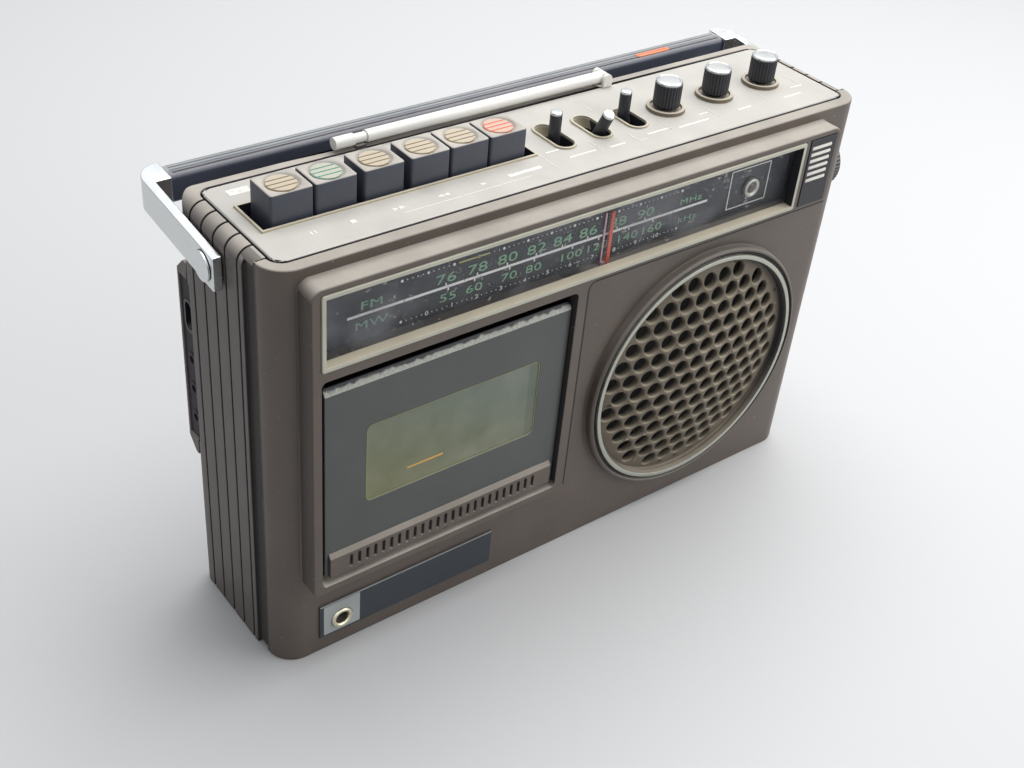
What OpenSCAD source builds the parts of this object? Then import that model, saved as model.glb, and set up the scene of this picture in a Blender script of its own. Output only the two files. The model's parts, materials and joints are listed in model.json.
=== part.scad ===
// Portable radio cassette recorder: an assembly of separate pieces at real size, in millimetres.
// +X is to the right as the front is seen, +Y goes back into the set and +Z is up.
// The origin is the middle of the flat underside.

/* [Case] */
// Width of the front shell
case_w = 306.6; // [290:0.2:330]
// Height of the case from its underside to its top lip
case_h = 198.8; // [190:0.2:220]
// Depth of the case from the speaker face to the back face
case_d = 71; // [66:0.5:84]
// Thickness of the moulded walls
wall = 2.5; // [2:0.1:3]
// Depth of the front shell, up to the seam with the rear shell
seam_d = 12.3; // [12.2:0.1:16]
// Radius of the front shell's upright corners
front_r = 12; // [6:0.5:12]
// How far the rear shell stands out past the front shell on each side
rear_flare = 1.2; // [0.4:0.2:2.4]
// Radius of the rear shell's long top and bottom edges
edge_r = 6; // [3:0.5:7]
// Radius of the rear shell's upright back corners
back_r = 8; // [4:0.5:10]
// Width of the recessed band beside the seam
band_w = 6.5; // [4:0.5:8]
// Depth of the recessed band beside the seam
band_depth = 1.6; // [0.8:0.2:1.8]
// Number of grooves down each side
groove_n = 5; // [3:1:6]
// Distance between the side grooves
groove_pitch = 9.2; // [7:0.1:9.4]
// Width of a side groove
groove_w = 0.9; // [0.7:0.1:2]
// Depth of a side groove
groove_depth = 1; // [0.6:0.1:1.2]

/* [Raised front] */
// How far the raised front stands out of the speaker face
front_proud = 9.5; // [7:0.5:12]
// Margin left of the raised front
front_left = 10.6; // [6:0.2:16]
// Margin right of the raised front
front_right = 22.3; // [14:0.1:24]
// Margin above the raised front
front_top = 4.5; // [3:0.1:8]
// Height of the dial strip across the top of the raised front
strip_h = 38.7; // [37:0.1:44]
// Width of the part of the raised front that holds the cassette door
bay_w = 131.7; // [131:0.1:140]
// Radius of the raised front's corners
bay_r = 5; // [2:0.5:7]

/* [Dial] */
// Width of the dial frame
dial_w = 247; // [230:0.5:250]
// Height of the dial frame
dial_h = 33.7; // [31:0.1:34]
// Margin left of the dial frame
dial_left = 4; // [3.5:0.1:10]
// Margin above the dial frame
dial_top = 2.7; // [2.5:0.1:4]
// Width of the dial frame's bright border
dial_rim = 2; // [1.4:0.1:2.6]
// How far the dial window lies behind the raised face
dial_sink = 4.4; // [3:0.1:5]
// Place of the pointer at rest, from the middle of the set
pointer_x = 2.4; // [-60:0.1:60]
// Width of the microphone panel
mic_w = 17; // [14:0.2:18]
// Number of bars in the microphone panel
mic_n = 6; // [4:1:7]

/* [Cassette door] */
// Width of the door opening
door_w = 121.4; // [119:0.1:122]
// Height of the door opening
door_h = 105.3; // [98:0.1:112]
// Margin left of the door opening
door_left = 4.3; // [4.2:0.1:6]
// Rise of the door opening above the lower edge of the raised front
door_rise = 3.6; // [3.4:0.1:4.2]
// Drop of the door opening below the dial strip
door_head = 2.3; // [2:0.1:4]
// Gap between the door and its opening at each side
door_gap = 2.4; // [1.5:0.1:3]
// Width of the door's window
window_w = 85.4; // [70:0.2:88]
// Height of the door's window
window_h = 39; // [30:0.5:40]
// Height of the reel hubs above the underside
hub_h = 103.5; // [102:0.5:108]
// Height of the slotted strip at the foot of the door
vent_h = 12.5; // [10:0.5:16]
// Number of slots in the strip
vent_n = 25; // [15:1:26]

/* [Speaker] */
// Distance of the speaker's middle from the right side
speaker_side = 82.5; // [78:0.5:86]
// Height of the speaker's middle
speaker_h = 77.5; // [74:0.5:82]
// Outer radius of the bright ring
ring_r = 61.5; // [58:0.5:62]
// Width of the bright ring
ring_w = 2.8; // [2.4:0.1:3.6]
// Distance between the grille's holes
hole_pitch = 9.5; // [8.8:0.1:11]
// Radius of a grille hole
hole_r = 3.8; // [3:0.1:4]
// How far the grille's rim lies behind the speaker face
grille_sink = 0; // [0:0.5:3]
// How far the grille's dome rises from its rim
dome_rise = 8; // [5:0.5:9]

/* [Top controls] */
// Margin between the top plate and the sides
plate_side = 6.1; // [5.6:0.1:10]
// Margin in front of the top plate
plate_front = 6.8; // [5.5:0.1:8]
// Depth of the top plate
plate_d = 59.2; // [54:0.2:59.4]
// Number of keys
key_n = 6; // [6:1:6]
// Gap between neighbouring keys
key_gap = 0.9; // [0.8:0.1:1.4]
// Gap on each side of the third key
key_break = 3.1; // [2:0.1:3.6]
// Width of a key
key_w = 17.9; // [16:0.1:18.2]
// Depth of a key
key_d = 16; // [15:0.1:17]
// Height of the keys above the top plate
key_h = 12.4; // [11:0.1:15]
// Travel of a key
key_travel = 5; // [4:0.5:6]
// Distance from the left side to the first key
key_left = 16.85; // [16:0.05:20]
// Radius of the control knobs
knob_r = 6.1; // [5:0.1:6.4]
// Height of the control knobs above the top plate
knob_h = 14; // [12:0.1:16]
// Distance between the control knobs
knob_pitch = 29.6; // [26:0.1:30]
// Radius of the levers
lever_r = 2.6; // [2.2:0.1:3]
// Height of the levers above the top plate
lever_h = 12; // [10:0.2:16]
// Distance between the levers
lever_pitch = 20; // [18:0.1:21]

/* [Tuning knob] */
// Radius of the tuning knob on the right side
tuning_r = 14; // [12:0.5:17]
// Width of the tuning knob
tuning_w = 9.5; // [8:0.5:14]

/* [Handle] */
// Distance of the handle's pivot behind the speaker face
pivot_d = 39.8; // [38:0.2:46]
// Height of the handle's pivot
pivot_h = 184; // [178:0.2:186]
// Thickness of a handle arm
arm_t = 4; // [3:0.2:5]
// Distance from the pivot to the far edge of the grip
arm_reach = 57.5; // [52:0.5:64]
// Height of the grip
grip_h = 13.8; // [12:0.2:16]
// Depth of the grip
grip_d = 10.5; // [9:0.5:12]

/* [Antenna] */
// Outer radius of the antenna's first tube
rod_r = 2.6; // [2.4:0.1:3]
// Length of the antenna's first tube
rod_len = 125; // [100:1:130]
// Distance of the antenna's turret from the middle
rod_x = 53; // [48:1:56]

/* [Back] */
// How far the connector housing stands out of the back
bulge_d = 6; // [4:0.5:8]
// Width of the battery compartment
bay_in_w = 150; // [148:1:152]
// Height of the battery compartment
bay_in_h = 54; // [52:0.5:55]
// Depth of the battery compartment
bay_in_d = 26; // [24:0.5:27]

/* [Clearances] */
// Gap between pieces that move past each other
run = 0.3; // [0.2:0.05:0.4]
// Gap between fixed pieces that sit beside each other
seat = 0.1; // [0.05:0.05:0.2]
// Gap round a shaft or pin
pin_gap = 0.15; // [0.1:0.05:0.2]

/* [Hidden] */
$fn = 64;
over = 1;

// Places that follow from the sizes above, in x, depth behind the speaker face and height
side_x = case_w / 2;
rear_x = side_x + rear_flare;
bay_x0 = -side_x + front_left;
bay_x1 = bay_x0 + bay_w;
strip_x1 = side_x - front_right;
strip_top = case_h - front_top;
strip_low = strip_top - strip_h;
dial_x0 = bay_x0 + dial_left;
dial_x1 = dial_x0 + dial_w;
dial_z1 = strip_top - dial_top;
dial_z0 = dial_z1 - dial_h;
lens_t = 1;
lens_d = -front_proud + dial_sink;
dial_plate_t = 1;
dial_plate_d = lens_d + lens_t + 2.6;
pointer_t = 0.8;
pointer_d = lens_d + lens_t + 0.8;
pointer_w = 1.6;
pointer_slot_h = 2.2;
mic_x0 = dial_x1 + 2.7;
mic_bar_h = 2;
mic_pitch = 3.2;
mic_t = 2;
door_x0 = bay_x0 + door_left;
door_x1 = door_x0 + door_w;
door_z1 = strip_low - door_head;
door_z0 = door_z1 - door_h;
bay_bottom = door_z0 - door_rise;
door_x = (door_x0 + door_x1) / 2 + 0.6;
door_r = 2.5;
well_wall = 2;
well_d = 10.2;
panel_x0 = door_x0 + door_gap;
panel_x1 = door_x1 - door_gap / 4;
panel_z0 = door_z0 + 3;
panel_z1 = door_z1 - 6.1;
lip_h = 3;
lip_d = 1.8;
panel_t = 2.5;
panel_d = -front_proud + 2.5;
panel_back = panel_d + panel_t;
pane_t = 1.5;
vent_t = 1.6;
vent_slot_w = 1.4;
vent_slot_h = 6.4;
vent_pitch = 3.93;
vent_in = 1.7;
window_off = 2.8;
hinge_d = panel_back + 0.5;
hinge_h = panel_z0 + 2.2;
hinge_r = 1.5;
deck_t = 1.5;
deck_d = well_d + seat;
deck_back = deck_d + deck_t;
deck_x0 = door_x0 - 3;
deck_x1 = door_x1 + 3;
hub_pitch = 42.5;
cassette_w = 100.4;
cassette_t = 12.4;
cassette_low = hub_h - 29;
cassette_h = 64;
rail_t = 1.5;
capstan_x = door_x + 21;
capstan_h = cassette_low + 1.8;
capstan_r = 1.1;
fly_r = 24;
fly_t = 5;
fly_d = 33;
motor_x = door_x - 41;
motor_h = capstan_h - 16;
motor_r = 13;
pulley_r = 4;
belt_t = 1.2;
belt_w = 3;
speaker_x = side_x - speaker_side;
ring_front = -4.4;
grille_t = 4;
cup_t = 0.8;
ring_in = ring_r - ring_w;
grille_r = ring_in + cup_t;
cone_r = ring_r - 8.5;
voice_r = 14;
basket_depth = 22;
magnet_r = 27;
magnet_t = 13;
plate_x = side_x - plate_side;
plate_r = 5;
plate_gap = 0.8;
ledge_w = 3;
plate_back = plate_front + plate_d;
plate_low = case_h - wall;
key_x0 = -side_x + key_left + key_w / 2;
key_step = key_w + key_gap;
key_extra = key_break - key_gap;
key_xs = [for (n = [0:key_n - 1]) key_x0 + n * key_step + min(max(n - 1, 0), 2) * key_extra];
key_front = plate_front + 22.7;
key_mid = key_front + key_d / 2;
well_left = 4;
well_right = 3.65;
well_x0 = key_x0 - key_w / 2 - well_left;
well_x1 = key_xs[key_n - 1] + key_w / 2 + well_right;
well_d0 = key_front - 1.6;
well_d1 = key_front + key_d + 2.2;
tub_t = 1.5;
key_foot = 6;
tub_h = key_foot + key_travel + tub_t + 3.5;
stem_w = 6;
disc_r = 6.6;
disc_sink = 0.7;
rim_h = 0.9;
rim_w = 1.1;
lever_x0 = well_x1 + 17.3;
lever_mid = plate_front + 30.2;
lever_drop = 12;
lever_tilt = 25;
slot_w = 8.6;
slot_len = 22;
// Each lever: its pivot's depth, its slot's middle and length, and its lean to the front at rest
levers = [
    [lever_mid, lever_mid, slot_len, 0],
    [lever_mid, lever_mid - 0.6, slot_len - 1.2, lever_tilt],
    [lever_mid + 2, lever_mid - 2, slot_len - 4, 0]
];
knob_x0 = lever_x0 + 2 * lever_pitch + 21.3;
knob_xs = [for (n = [0:2]) knob_x0 + n * knob_pitch];
knob_mid = lever_mid - 1.8;
knob_float = 2.4;
shaft_r = 3;
collar_r = 8.7;
collar_h = 1.8;
pot_drop = 5;
pot_r = 8;
tuning_d = 25;
tuning_h = 154.5;
tuning_gap = 1;
rod_d = plate_back + 2.6;
turret_t = 0.5;
rod_h = case_h + 2 * run + turret_t + rod_r;
tube_wall = 0.4;
slide_gap = 0.2;
tube2_r = rod_r - tube_wall - slide_gap;
tip_len = 9;
turret_r = 4.4;
ear_t = 1.5;
arm_x0 = rear_x + 0.8;
arm_x1 = arm_x0 + arm_t;
arm_front = 7.8;
arm_up = 6.8;
arm_down = 7.6;
arm_rise = 5.8;
grip_back = pivot_d + arm_reach;
grip_top = pivot_h + arm_up + arm_rise;
grip_x = side_x - 4.7;
corner_r = 9;
cap_r = 6.2;
cap_t = 0.6;
stud_r = 3;
bulge_z0 = 71;
bulge_z1 = 167.5;
bulge_slope = 6;
bulge_back = case_d + bulge_d;
port_d0 = case_d - 6.5;
port_d1 = bulge_back - 1.6;
port_z0 = bulge_z0 + 8;
port_z1 = bulge_z1 - 8;
port_t = 1.6;
jack_r = 1.8;
jack_step = 15;
mini_len = 12;
bay_in_x0 = -side_x + 14;
bay_in_z0 = 12;
bay_in_back = case_d - wall;
cover_pin_r = 1.2;
phone_r = 3.2;
phone_ring_r = 5.2;
phone_len = 16;
name_x0 = -side_x + 18.4;
name_w = 90.7;
name_z0 = 8;
name_h = 19;
name_t = 0.8;
phone_x = name_x0 + 10.9;
phone_h = 15.8;
screw_r = 3;
screw_shank = 1.4;
screw_len = 5.5;
board_d = 45;
board_t = 1.6;
screw_x = side_x - 23;
screw_top = case_h - 13;
screw_low = 15;
screw_places = [
    [-screw_x, screw_top], [0, screw_top], [screw_x, screw_top],
    [bay_in_x0 + bay_in_w + 30, screw_low], [screw_x, screw_low]
];
board_x0 = bay_in_x0;
board_len = 140;
board_x1 = board_x0 + board_len;
board_z0 = bay_in_z0 + bay_in_h + 8;
board_z1 = strip_low - 4;
board_post_r = 3;
band_stop = 2.6;
groove_first = seam_d + band_w + 3.5;
groove_from = rear_x - plate_x - plate_gap;
swivel_r = 1.6;
swivel_len = 8;
cover_pin_d = case_d - wall / 2;
cover_pin_h = bay_in_z0 + run + wall / 2;
cover_pin_len = 3;
tip_x0 = rod_x - rod_len - 6;
speaker_post_r = 3;
speaker_post_ring = ring_r + 1.5;
flange_at = grille_sink + grille_t + 7.6;
ring_seat = ring_front + 2.5;
rail_d = dial_plate_d + dial_plate_t + 3.4;
rail_h = strip_low + wall + 5;
rail_r = 1;
lamp_right = 23.4;
lamp_drop = 19.7;
lamp_x = dial_x1 - lamp_right;
lamp_h = dial_z1 - lamp_drop;
lamp_r = 4.6;
spindle_r = 3;
spindle_front = 0;
spindle_disc_r = 8;
spindle_disc_t = 2;
spindle_wheel_r = 12;
spindle_wheel_t = 3;
fin_reach = 1.4;
fin_t = 1.2;
motor_gap = 1;
motor_back = fly_d - motor_gap;
motor_bore = 6;
fly_hub_r = 4;
bridge_travel = 4.5;
pinch_r = 6;
pinch_h = capstan_h - capstan_r - pinch_r - 0.4 - bridge_travel;
bridge_d0 = deck_d - 1.8;
bridge_half = 36;
bridge_low = door_z0 + 8.3;
axle_r = 1.2;
axle_front = 2;
tuner_w = 34;
tuner_x0 = rear_x - wall - tuner_w;
bank_drop = 18;
bank_top = case_h - bank_drop;
bank_side = 8;
bank_end = 11;
bank_half = 12;
pot_floor = 1;
bush_t = 1.6;
bracket_t = 1.6;
bracket_gap = 0.8;
bracket_half = 4;
bracket_rise = 3.5;
window_x0 = door_x + window_off - window_w / 2;
window_x1 = window_x0 + window_w;
window_z0 = hub_h - window_h / 2;
window_z1 = hub_h + window_h / 2;
port_x = -side_x + 0.8;
port_mid = (port_d0 + port_d1) / 2;
mini_r = 3.6;
mini_places = [for (n = [0:2]) port_z0 + 11 + n * jack_step];
inlet_h = port_z1 - 18;
inlet_pitch = 8;
inlet_r = 3.8;
prong_r = 1.1;
grip_groove_n = 4;
transformer_w = 40;
transformer_d = 30;
transformer_h = 34;
transformer_side = 6;
transformer_back = 4;
coil_w = 22;
coil_h = 22;
coil_d = 4;
ferrite_len = 120;
ferrite_r = 4.5;
aerial_back = 12;
aerial_drop = 18;
aerial_coil_x = -44;
aerial_coil_len = 24;
aerial_coil_r = 5.6;
clip_x = 55;
clip_w = 6;
clip_half = 6.5;
part_r = 4;
part_h = 4;
part_grow = 1;
part_from = 16;
part_pitch = 21;
part_drop = 14;
part_step = 9;
stud_len = 5;
contact_half_d = 8;
contact_half_h = 9;
contact_t = 0.6;
contact_r = 3.5;

// Colours as the set shows them
brown = [0.34, 0.31, 0.28];
dark_brown = [0.25, 0.23, 0.22];
stone = [0.72, 0.69, 0.64];
slate = [0.2, 0.22, 0.25];
silver = [0.78, 0.78, 0.76];
black = [0.06, 0.06, 0.07];
steel = [0.6, 0.61, 0.63];

// A flat outline in x and height, carried from depth d0 to depth d1
module wall_y(d0, d1) {
    translate([0, -case_d / 2 + d1, 0]) rotate([90, 0, 0]) linear_extrude(d1 - d0) children();
}

// A flat outline in x and depth, carried from height h0 to height h1
module plan_z(h0, h1) {
    translate([0, -case_d / 2, h0]) linear_extrude(h1 - h0) children();
}

// A flat outline in depth and height, carried from x0 to x1
module span_x(x0, x1) {
    translate([x0, -case_d / 2, 0]) rotate([90, 0, 90]) linear_extrude(x1 - x0) children();
}

// Puts a piece at x, depth d and height h
module at(x, d, h) {
    translate([x, -case_d / 2 + d, h]) children();
}

// A rectangle between two corners
module box2(x0, y0, x1, y1) {
    translate([x0, y0]) square([x1 - x0, y1 - y0]);
}

// A rectangle between two corners, with all four corners rounded to r
module round2(x0, y0, x1, y1, r) {
    box2(x0 + r, y0, x1 - r, y1);
    box2(x0, y0 + r, x1, y1 - r);
    for (x = [x0 + r, x1 - r], y = [y0 + r, y1 - r]) translate([x, y]) circle(r);
}

// A slot with round ends, w wide and len long along its second direction
module slot2(w, len) {
    square([w, len - w], center = true);
    for (s = [-1, 1]) translate([0, s * (len - w) / 2]) circle(w / 2);
}

// A solid between two corners in x, depth and height
module block(x0, d0, h0, x1, d1, h1) {
    at(x0, d0, h0) cube([x1 - x0, d1 - d0, h1 - h0]);
}

// Round bars along each direction
module bar_x(x0, x1, d, h, r) {
    span_x(x0, x1) translate([d, h]) circle(r);
}
module bar_y(d0, d1, x, h, r) {
    wall_y(d0, d1) translate([x, h]) circle(r);
}
module bar_z(h0, h1, x, d, r) {
    plan_z(h0, h1) translate([x, d]) circle(r);
}

// Plan of the front shell, drawn in by inset and carried back to depth back
module front_plan(inset, back) {
    x = side_x - inset;
    intersection() {
        round2(-x, inset, x, inset + 2 * case_d, front_r - inset);
        box2(-x, inset, x, back);
    }
}

// Face of the raised front, an L with rounded corners, drawn in by inset
module raised_outline(inset) {
    r = max(0.5, bay_r - inset);
    fillet_r = bay_r + inset;
    fillet_x = bay_x1 - inset;
    fillet_z = strip_low + inset;
    round2(bay_x0 + inset, strip_low + inset, strip_x1 - inset, strip_top - inset, r);
    round2(bay_x0 + inset, bay_bottom + inset, bay_x1 - inset, strip_top - inset, r);
    difference() {
        box2(fillet_x - over, fillet_z - fillet_r, fillet_x + fillet_r, fillet_z + over);
        translate([fillet_x + fillet_r, fillet_z - fillet_r]) circle(fillet_r);
    }
}

// The door opening, grown by grow
module door_hole(grow) {
    round2(door_x0 - grow, door_z0 - grow, door_x1 + grow, door_z1 + grow, door_r + grow);
}

// The hole in the case's top that the top plate drops into
module plate_hole(grow) {
    round2(-plate_x - grow, plate_front - grow, plate_x + grow, plate_back + grow, plate_r + grow);
}

// A ring turned about the speaker's axis, from points of radius and depth
module speaker_turned(points) {
    at(speaker_x, 0, speaker_h) rotate([90, 0, 0]) rotate_extrude()
        polygon([for (p = points) [p[0], -p[1]]]);
}

module front_shell() {
    color(brown) {
        difference() {
            union() {
                plan_z(0, case_h) front_plan(0, seam_d);
                wall_y(-front_proud, wall) raised_outline(0);
                speaker_turned([
                    [grille_r + seat, wall / 2], [ring_r + 3.9, wall / 2], [ring_r + 3.6, ring_front + 1.2],
                    [ring_r + 2.7, ring_front + 0.3], [ring_r + 1.9, ring_front + 0.3],
                    [ring_r + 1.5, ring_front + 1.6], [ring_r + seat, ring_front + 1.6],
                    [ring_r + seat, ring_seat], [grille_r + seat, ring_seat]
                ]);
            }
            plan_z(wall, case_h - wall) front_plan(wall, seam_d + over);
            wall_y(-front_proud + wall, wall + over) raised_outline(wall);
            plan_z(plate_low, case_h + over) plate_hole(plate_gap);
            wall_y(-front_proud - over, wall + over) door_hole(0);
            wall_y(-front_proud - over, 0)
                round2(dial_x0 + seat, dial_z0 + seat, dial_x1 - seat, dial_z1 - seat, 1);
            wall_y(-front_proud - over, 0)
                box2(mic_x0, dial_z0, mic_x0 + mic_w, dial_z1);
            bar_y(-over, wall + over, speaker_x, speaker_h, grille_r + seat);
            bar_y(-over, wall + over, phone_x, phone_h, phone_ring_r + seat);
        }
        difference() {
            wall_y(-front_proud + wall / 2, well_d) difference() {
                door_hole(well_wall);
                door_hole(0);
            }
            bar_x(door_x0 - well_wall - over, door_x1 + well_wall + over, hinge_d, hinge_h,
                  hinge_r + pin_gap);
        }
        block(-plate_x + front_r, plate_front - ledge_w, plate_low - wall,
              plate_x - front_r, plate_front + ledge_w, plate_low);
        for (a = [45:90:315])
            bar_y(wall - 0.5, flange_at - seat, speaker_x + speaker_post_ring * cos(a),
                  speaker_h + speaker_post_ring * sin(a), speaker_post_r);
    }
}

// Outline of the rear shell across the set with its square foot, drawn in by inset
module rear_outline(inset) {
    round2(-rear_x + inset, inset, rear_x - inset, case_h - inset, edge_r - min(inset, edge_r - 1));
    box2(-rear_x + inset, inset, rear_x - inset, case_h / 2);
}

// Plan of the rear shell from depth front, drawn in by inset
module rear_plan(inset, front) {
    x = rear_x - inset;
    r = back_r - min(inset, back_r - 1);
    back = case_d - inset;
    box2(-x, front, x, back - r);
    box2(-x + r, front, x - r, back);
    for (s = [-1, 1]) translate([s * (x - r), back - r]) circle(r);
}

// Side profile of the connector housing on the back, drawn in by inset, from depth front
module bulge_profile(inset, front) {
    polygon([
        [front, bulge_z0 + inset], [case_d, bulge_z0 + inset],
        [bulge_back - inset, bulge_z0 + bulge_slope + inset],
        [bulge_back - inset, bulge_z1 - bulge_slope - inset],
        [case_d, bulge_z1 - inset], [front, bulge_z1 - inset]
    ]);
}

module rear_shell() {
    bay_x = bay_in_x0 + bay_in_w;
    bay_top = bay_in_z0 + bay_in_h;
    bay_front = bay_in_back - bay_in_d;
    color(dark_brown) {
        difference() {
            union() {
                intersection() {
                    wall_y(seam_d + seat, case_d) rear_outline(0);
                    plan_z(0, case_h) rear_plan(0, seam_d);
                }
                span_x(-side_x, side_x) bulge_profile(0, case_d - wall);
            }
            intersection() {
                wall_y(seam_d - over, case_d) rear_outline(wall + band_depth);
                plan_z(0, case_h) rear_plan(wall + band_depth, seam_d - over);
            }
            intersection() {
                wall_y(seam_d + band_w + wall, case_d) rear_outline(wall);
                plan_z(0, case_h) rear_plan(wall, seam_d);
            }
            wall_y(seam_d - over, seam_d + band_w) difference() {
                box2(-rear_x - over, -over, rear_x + over, case_h - band_stop);
                rear_outline(band_depth);
                box2(-rear_x + edge_r, -over, rear_x - edge_r, case_h + over);
            }
            for (n = [0:groove_n - 1]) {
                d = groove_first + n * groove_pitch;
                wall_y(d - groove_w / 2, d + groove_w / 2) difference() {
                    box2(-rear_x - over, -over, rear_x + over, case_h + over);
                    rear_outline(groove_depth);
                    box2(-rear_x + groove_from, -over, rear_x - groove_from, case_h + over);
                }
            }
            span_x(-side_x + wall, side_x - wall) bulge_profile(wall, case_d - back_r);
            plan_z(plate_low, case_h + over) plate_hole(plate_gap);
            wall_y(case_d - wall - over, case_d + over) box2(bay_in_x0, bay_in_z0, bay_x, bay_top);
            block(-rear_x - over, port_d0, port_z0, -side_x + wall + 2, port_d1, port_z1);
            bar_x(-rear_x - over, rear_x + over, pivot_d, pivot_h, stud_r + seat);
            bar_x(0, rear_x + over, tuning_d, tuning_h, shaft_r + run);
            bar_z(plate_low - swivel_len - over, case_h + over, rod_x, rod_d, swivel_r + pin_gap);
            for (p = screw_places) {
                bar_y(case_d - 1.2, case_d + over, p[0], p[1], screw_r + seat);
                bar_y(case_d - wall - over, case_d, p[0], p[1], screw_shank + seat);
            }
            bar_x(bay_in_x0 - cover_pin_len - run, bay_x + cover_pin_len + run, cover_pin_d, cover_pin_h,
                  cover_pin_r + pin_gap);
        }
        difference() {
            wall_y(bay_front - tub_t, case_d - wall / 2)
                box2(bay_in_x0 - tub_t, bay_in_z0 - tub_t, bay_x + tub_t, bay_top + tub_t);
            wall_y(bay_front, case_d + over) box2(bay_in_x0, bay_in_z0, bay_x, bay_top);
            bar_x(bay_in_x0 - cover_pin_len - run, bay_x + cover_pin_len + run, cover_pin_d, cover_pin_h,
                  cover_pin_r + pin_gap);
        }
        difference() {
            block(rod_x - 7, case_d - 8, plate_low - swivel_len, rod_x + 7, case_d - wall / 2, plate_low);
            bar_z(plate_low - swivel_len - over, case_h, rod_x, rod_d, swivel_r + pin_gap);
        }
        block(tip_x0 + 0.7, rod_d - 2, case_h - 0.5, tip_x0 + 5.3, rod_d + 2, rod_h - tube2_r - run);
        for (x = [board_x0 + 6, board_x1 - 6], h = [board_z0 + 6, board_z1 - 6])
            bar_y(board_d + board_t + seat, bulge_back - wall / 2, x, h, board_post_r);
        for (x = [-plate_x + 20, plate_x - 20])
            block(x - 8, plate_back - 3, plate_low - wall, x + 8, case_d - wall / 2, plate_low);
    }
}

// A raised rim round an opening in the top plate
module top_rim() {
    plan_z(case_h - over, case_h + rim_h) children();
}

module lever_slot(n, grow) {
    translate([lever_x0 + n * lever_pitch, levers[n][1]]) slot2(slot_w + 2 * grow, levers[n][2] + 2 * grow);
}

module top_plate() {
    tub_low = plate_low - tub_h;
    color(stone) {
        difference() {
            union() {
                plan_z(plate_low, case_h) plate_hole(0);
                top_rim() box2(well_x0 - rim_w, well_d0 - rim_w, well_x1 + rim_w, well_d1 + rim_w);
                top_rim() for (n = [0:2]) lever_slot(n, rim_w);
                for (x = knob_xs) bar_z(case_h - over, case_h + collar_h, x, knob_mid, collar_r);
                plan_z(tub_low, plate_low + over / 2)
                    box2(well_x0 - tub_t, well_d0 - tub_t, well_x1 + tub_t, well_d1 + tub_t);
            }
            plan_z(tub_low + tub_t, case_h + rim_h + over) box2(well_x0, well_d0, well_x1, well_d1);
            plan_z(plate_low - over, case_h + rim_h + over) for (n = [0:2]) lever_slot(n, 0);
            for (x = knob_xs) {
                bar_z(plate_low - over, case_h + collar_h + over, x, knob_mid, shaft_r + run);
                bar_z(case_h + collar_h - 1, case_h + collar_h + over, x, knob_mid, knob_r + 1);
            }
            for (n = [0:key_n - 1]) {
                x = key_xs[n];
                half = stem_w / 2 + run;
                plan_z(tub_low - over, tub_low + tub_t + over)
                    box2(x - half, key_mid - half, x + half, key_mid + half);
            }
        }
    }
}

module dial_frame() {
    color(silver) wall_y(-front_proud - 0.6, lens_d - seat) difference() {
        round2(dial_x0 + 2 * seat, dial_z0 + 2 * seat, dial_x1 - 2 * seat, dial_z1 - 2 * seat, 1);
        box2(dial_x0 + dial_rim, dial_z0 + dial_rim, dial_x1 - dial_rim, dial_z1 - dial_rim);
    }
}

module dial_window() {
    color([0.8, 0.85, 0.85, 0.3]) wall_y(lens_d, lens_d + lens_t)
        box2(dial_x0 + 1, dial_z0 + 1, dial_x1 - 1, dial_z1 - 1);
}

module dial_plate() {
    x0 = dial_x0 + seat;
    x1 = dial_x1 - seat;
    color(black) {
        wall_y(dial_plate_d, dial_plate_d + dial_plate_t)
            box2(x0, strip_low + wall + pointer_slot_h, x1, strip_top - wall - seat);
        bar_x(x0 + 4, x1 - 4, rail_d, rail_h, rail_r);
        for (x = [x0 + 3, x1 - 6])
            block(x, dial_plate_d + dial_plate_t / 2, rail_h - 2, x + 3, rail_d + 2, rail_h + 2);
    }
}

module dial_pointer() {
    low = strip_low + wall + run;
    carriage_d = rail_d - 2;
    color([0.85, 0.25, 0.15]) {
        block(pointer_x - pointer_w / 2, pointer_d, low, pointer_x + pointer_w / 2, pointer_d + pointer_t,
              dial_z1 - 8.6);
        block(pointer_x - pointer_w / 2, pointer_d, low, pointer_x + pointer_w / 2, rail_d,
              low + pointer_slot_h - 2 * run);
        difference() {
            block(pointer_x - 4, carriage_d, low, pointer_x + 4, rail_d + 2, rail_h + 2);
            bar_x(pointer_x - 4 - over, pointer_x + 4 + over, rail_d, rail_h, rail_r + pin_gap);
        }
    }
}

module mic_panel() {
    x0 = mic_x0 + seat;
    x1 = mic_x0 + mic_w - seat;
    color(black) difference() {
        wall_y(-front_proud - 0.4, -front_proud + mic_t) box2(x0, dial_z0 + seat, x1, dial_z1 - seat);
        for (n = [0:mic_n - 1])
            wall_y(-front_proud - over, -front_proud + 0.2)
                translate([(x0 + x1) / 2 - 0.6, dial_z1 - 4.4 - n * mic_pitch])
                    square([mic_w - 4.2, mic_bar_h], center = true);
    }
}

module speaker_ring() {
    color(silver) speaker_turned([
        [ring_in, ring_seat - seat], [ring_in, ring_front + 0.3], [ring_in + 0.3, ring_front],
        [ring_r - 0.3, ring_front], [ring_r, ring_front + 0.3], [ring_r, ring_seat - seat]
    ]);
}

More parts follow.
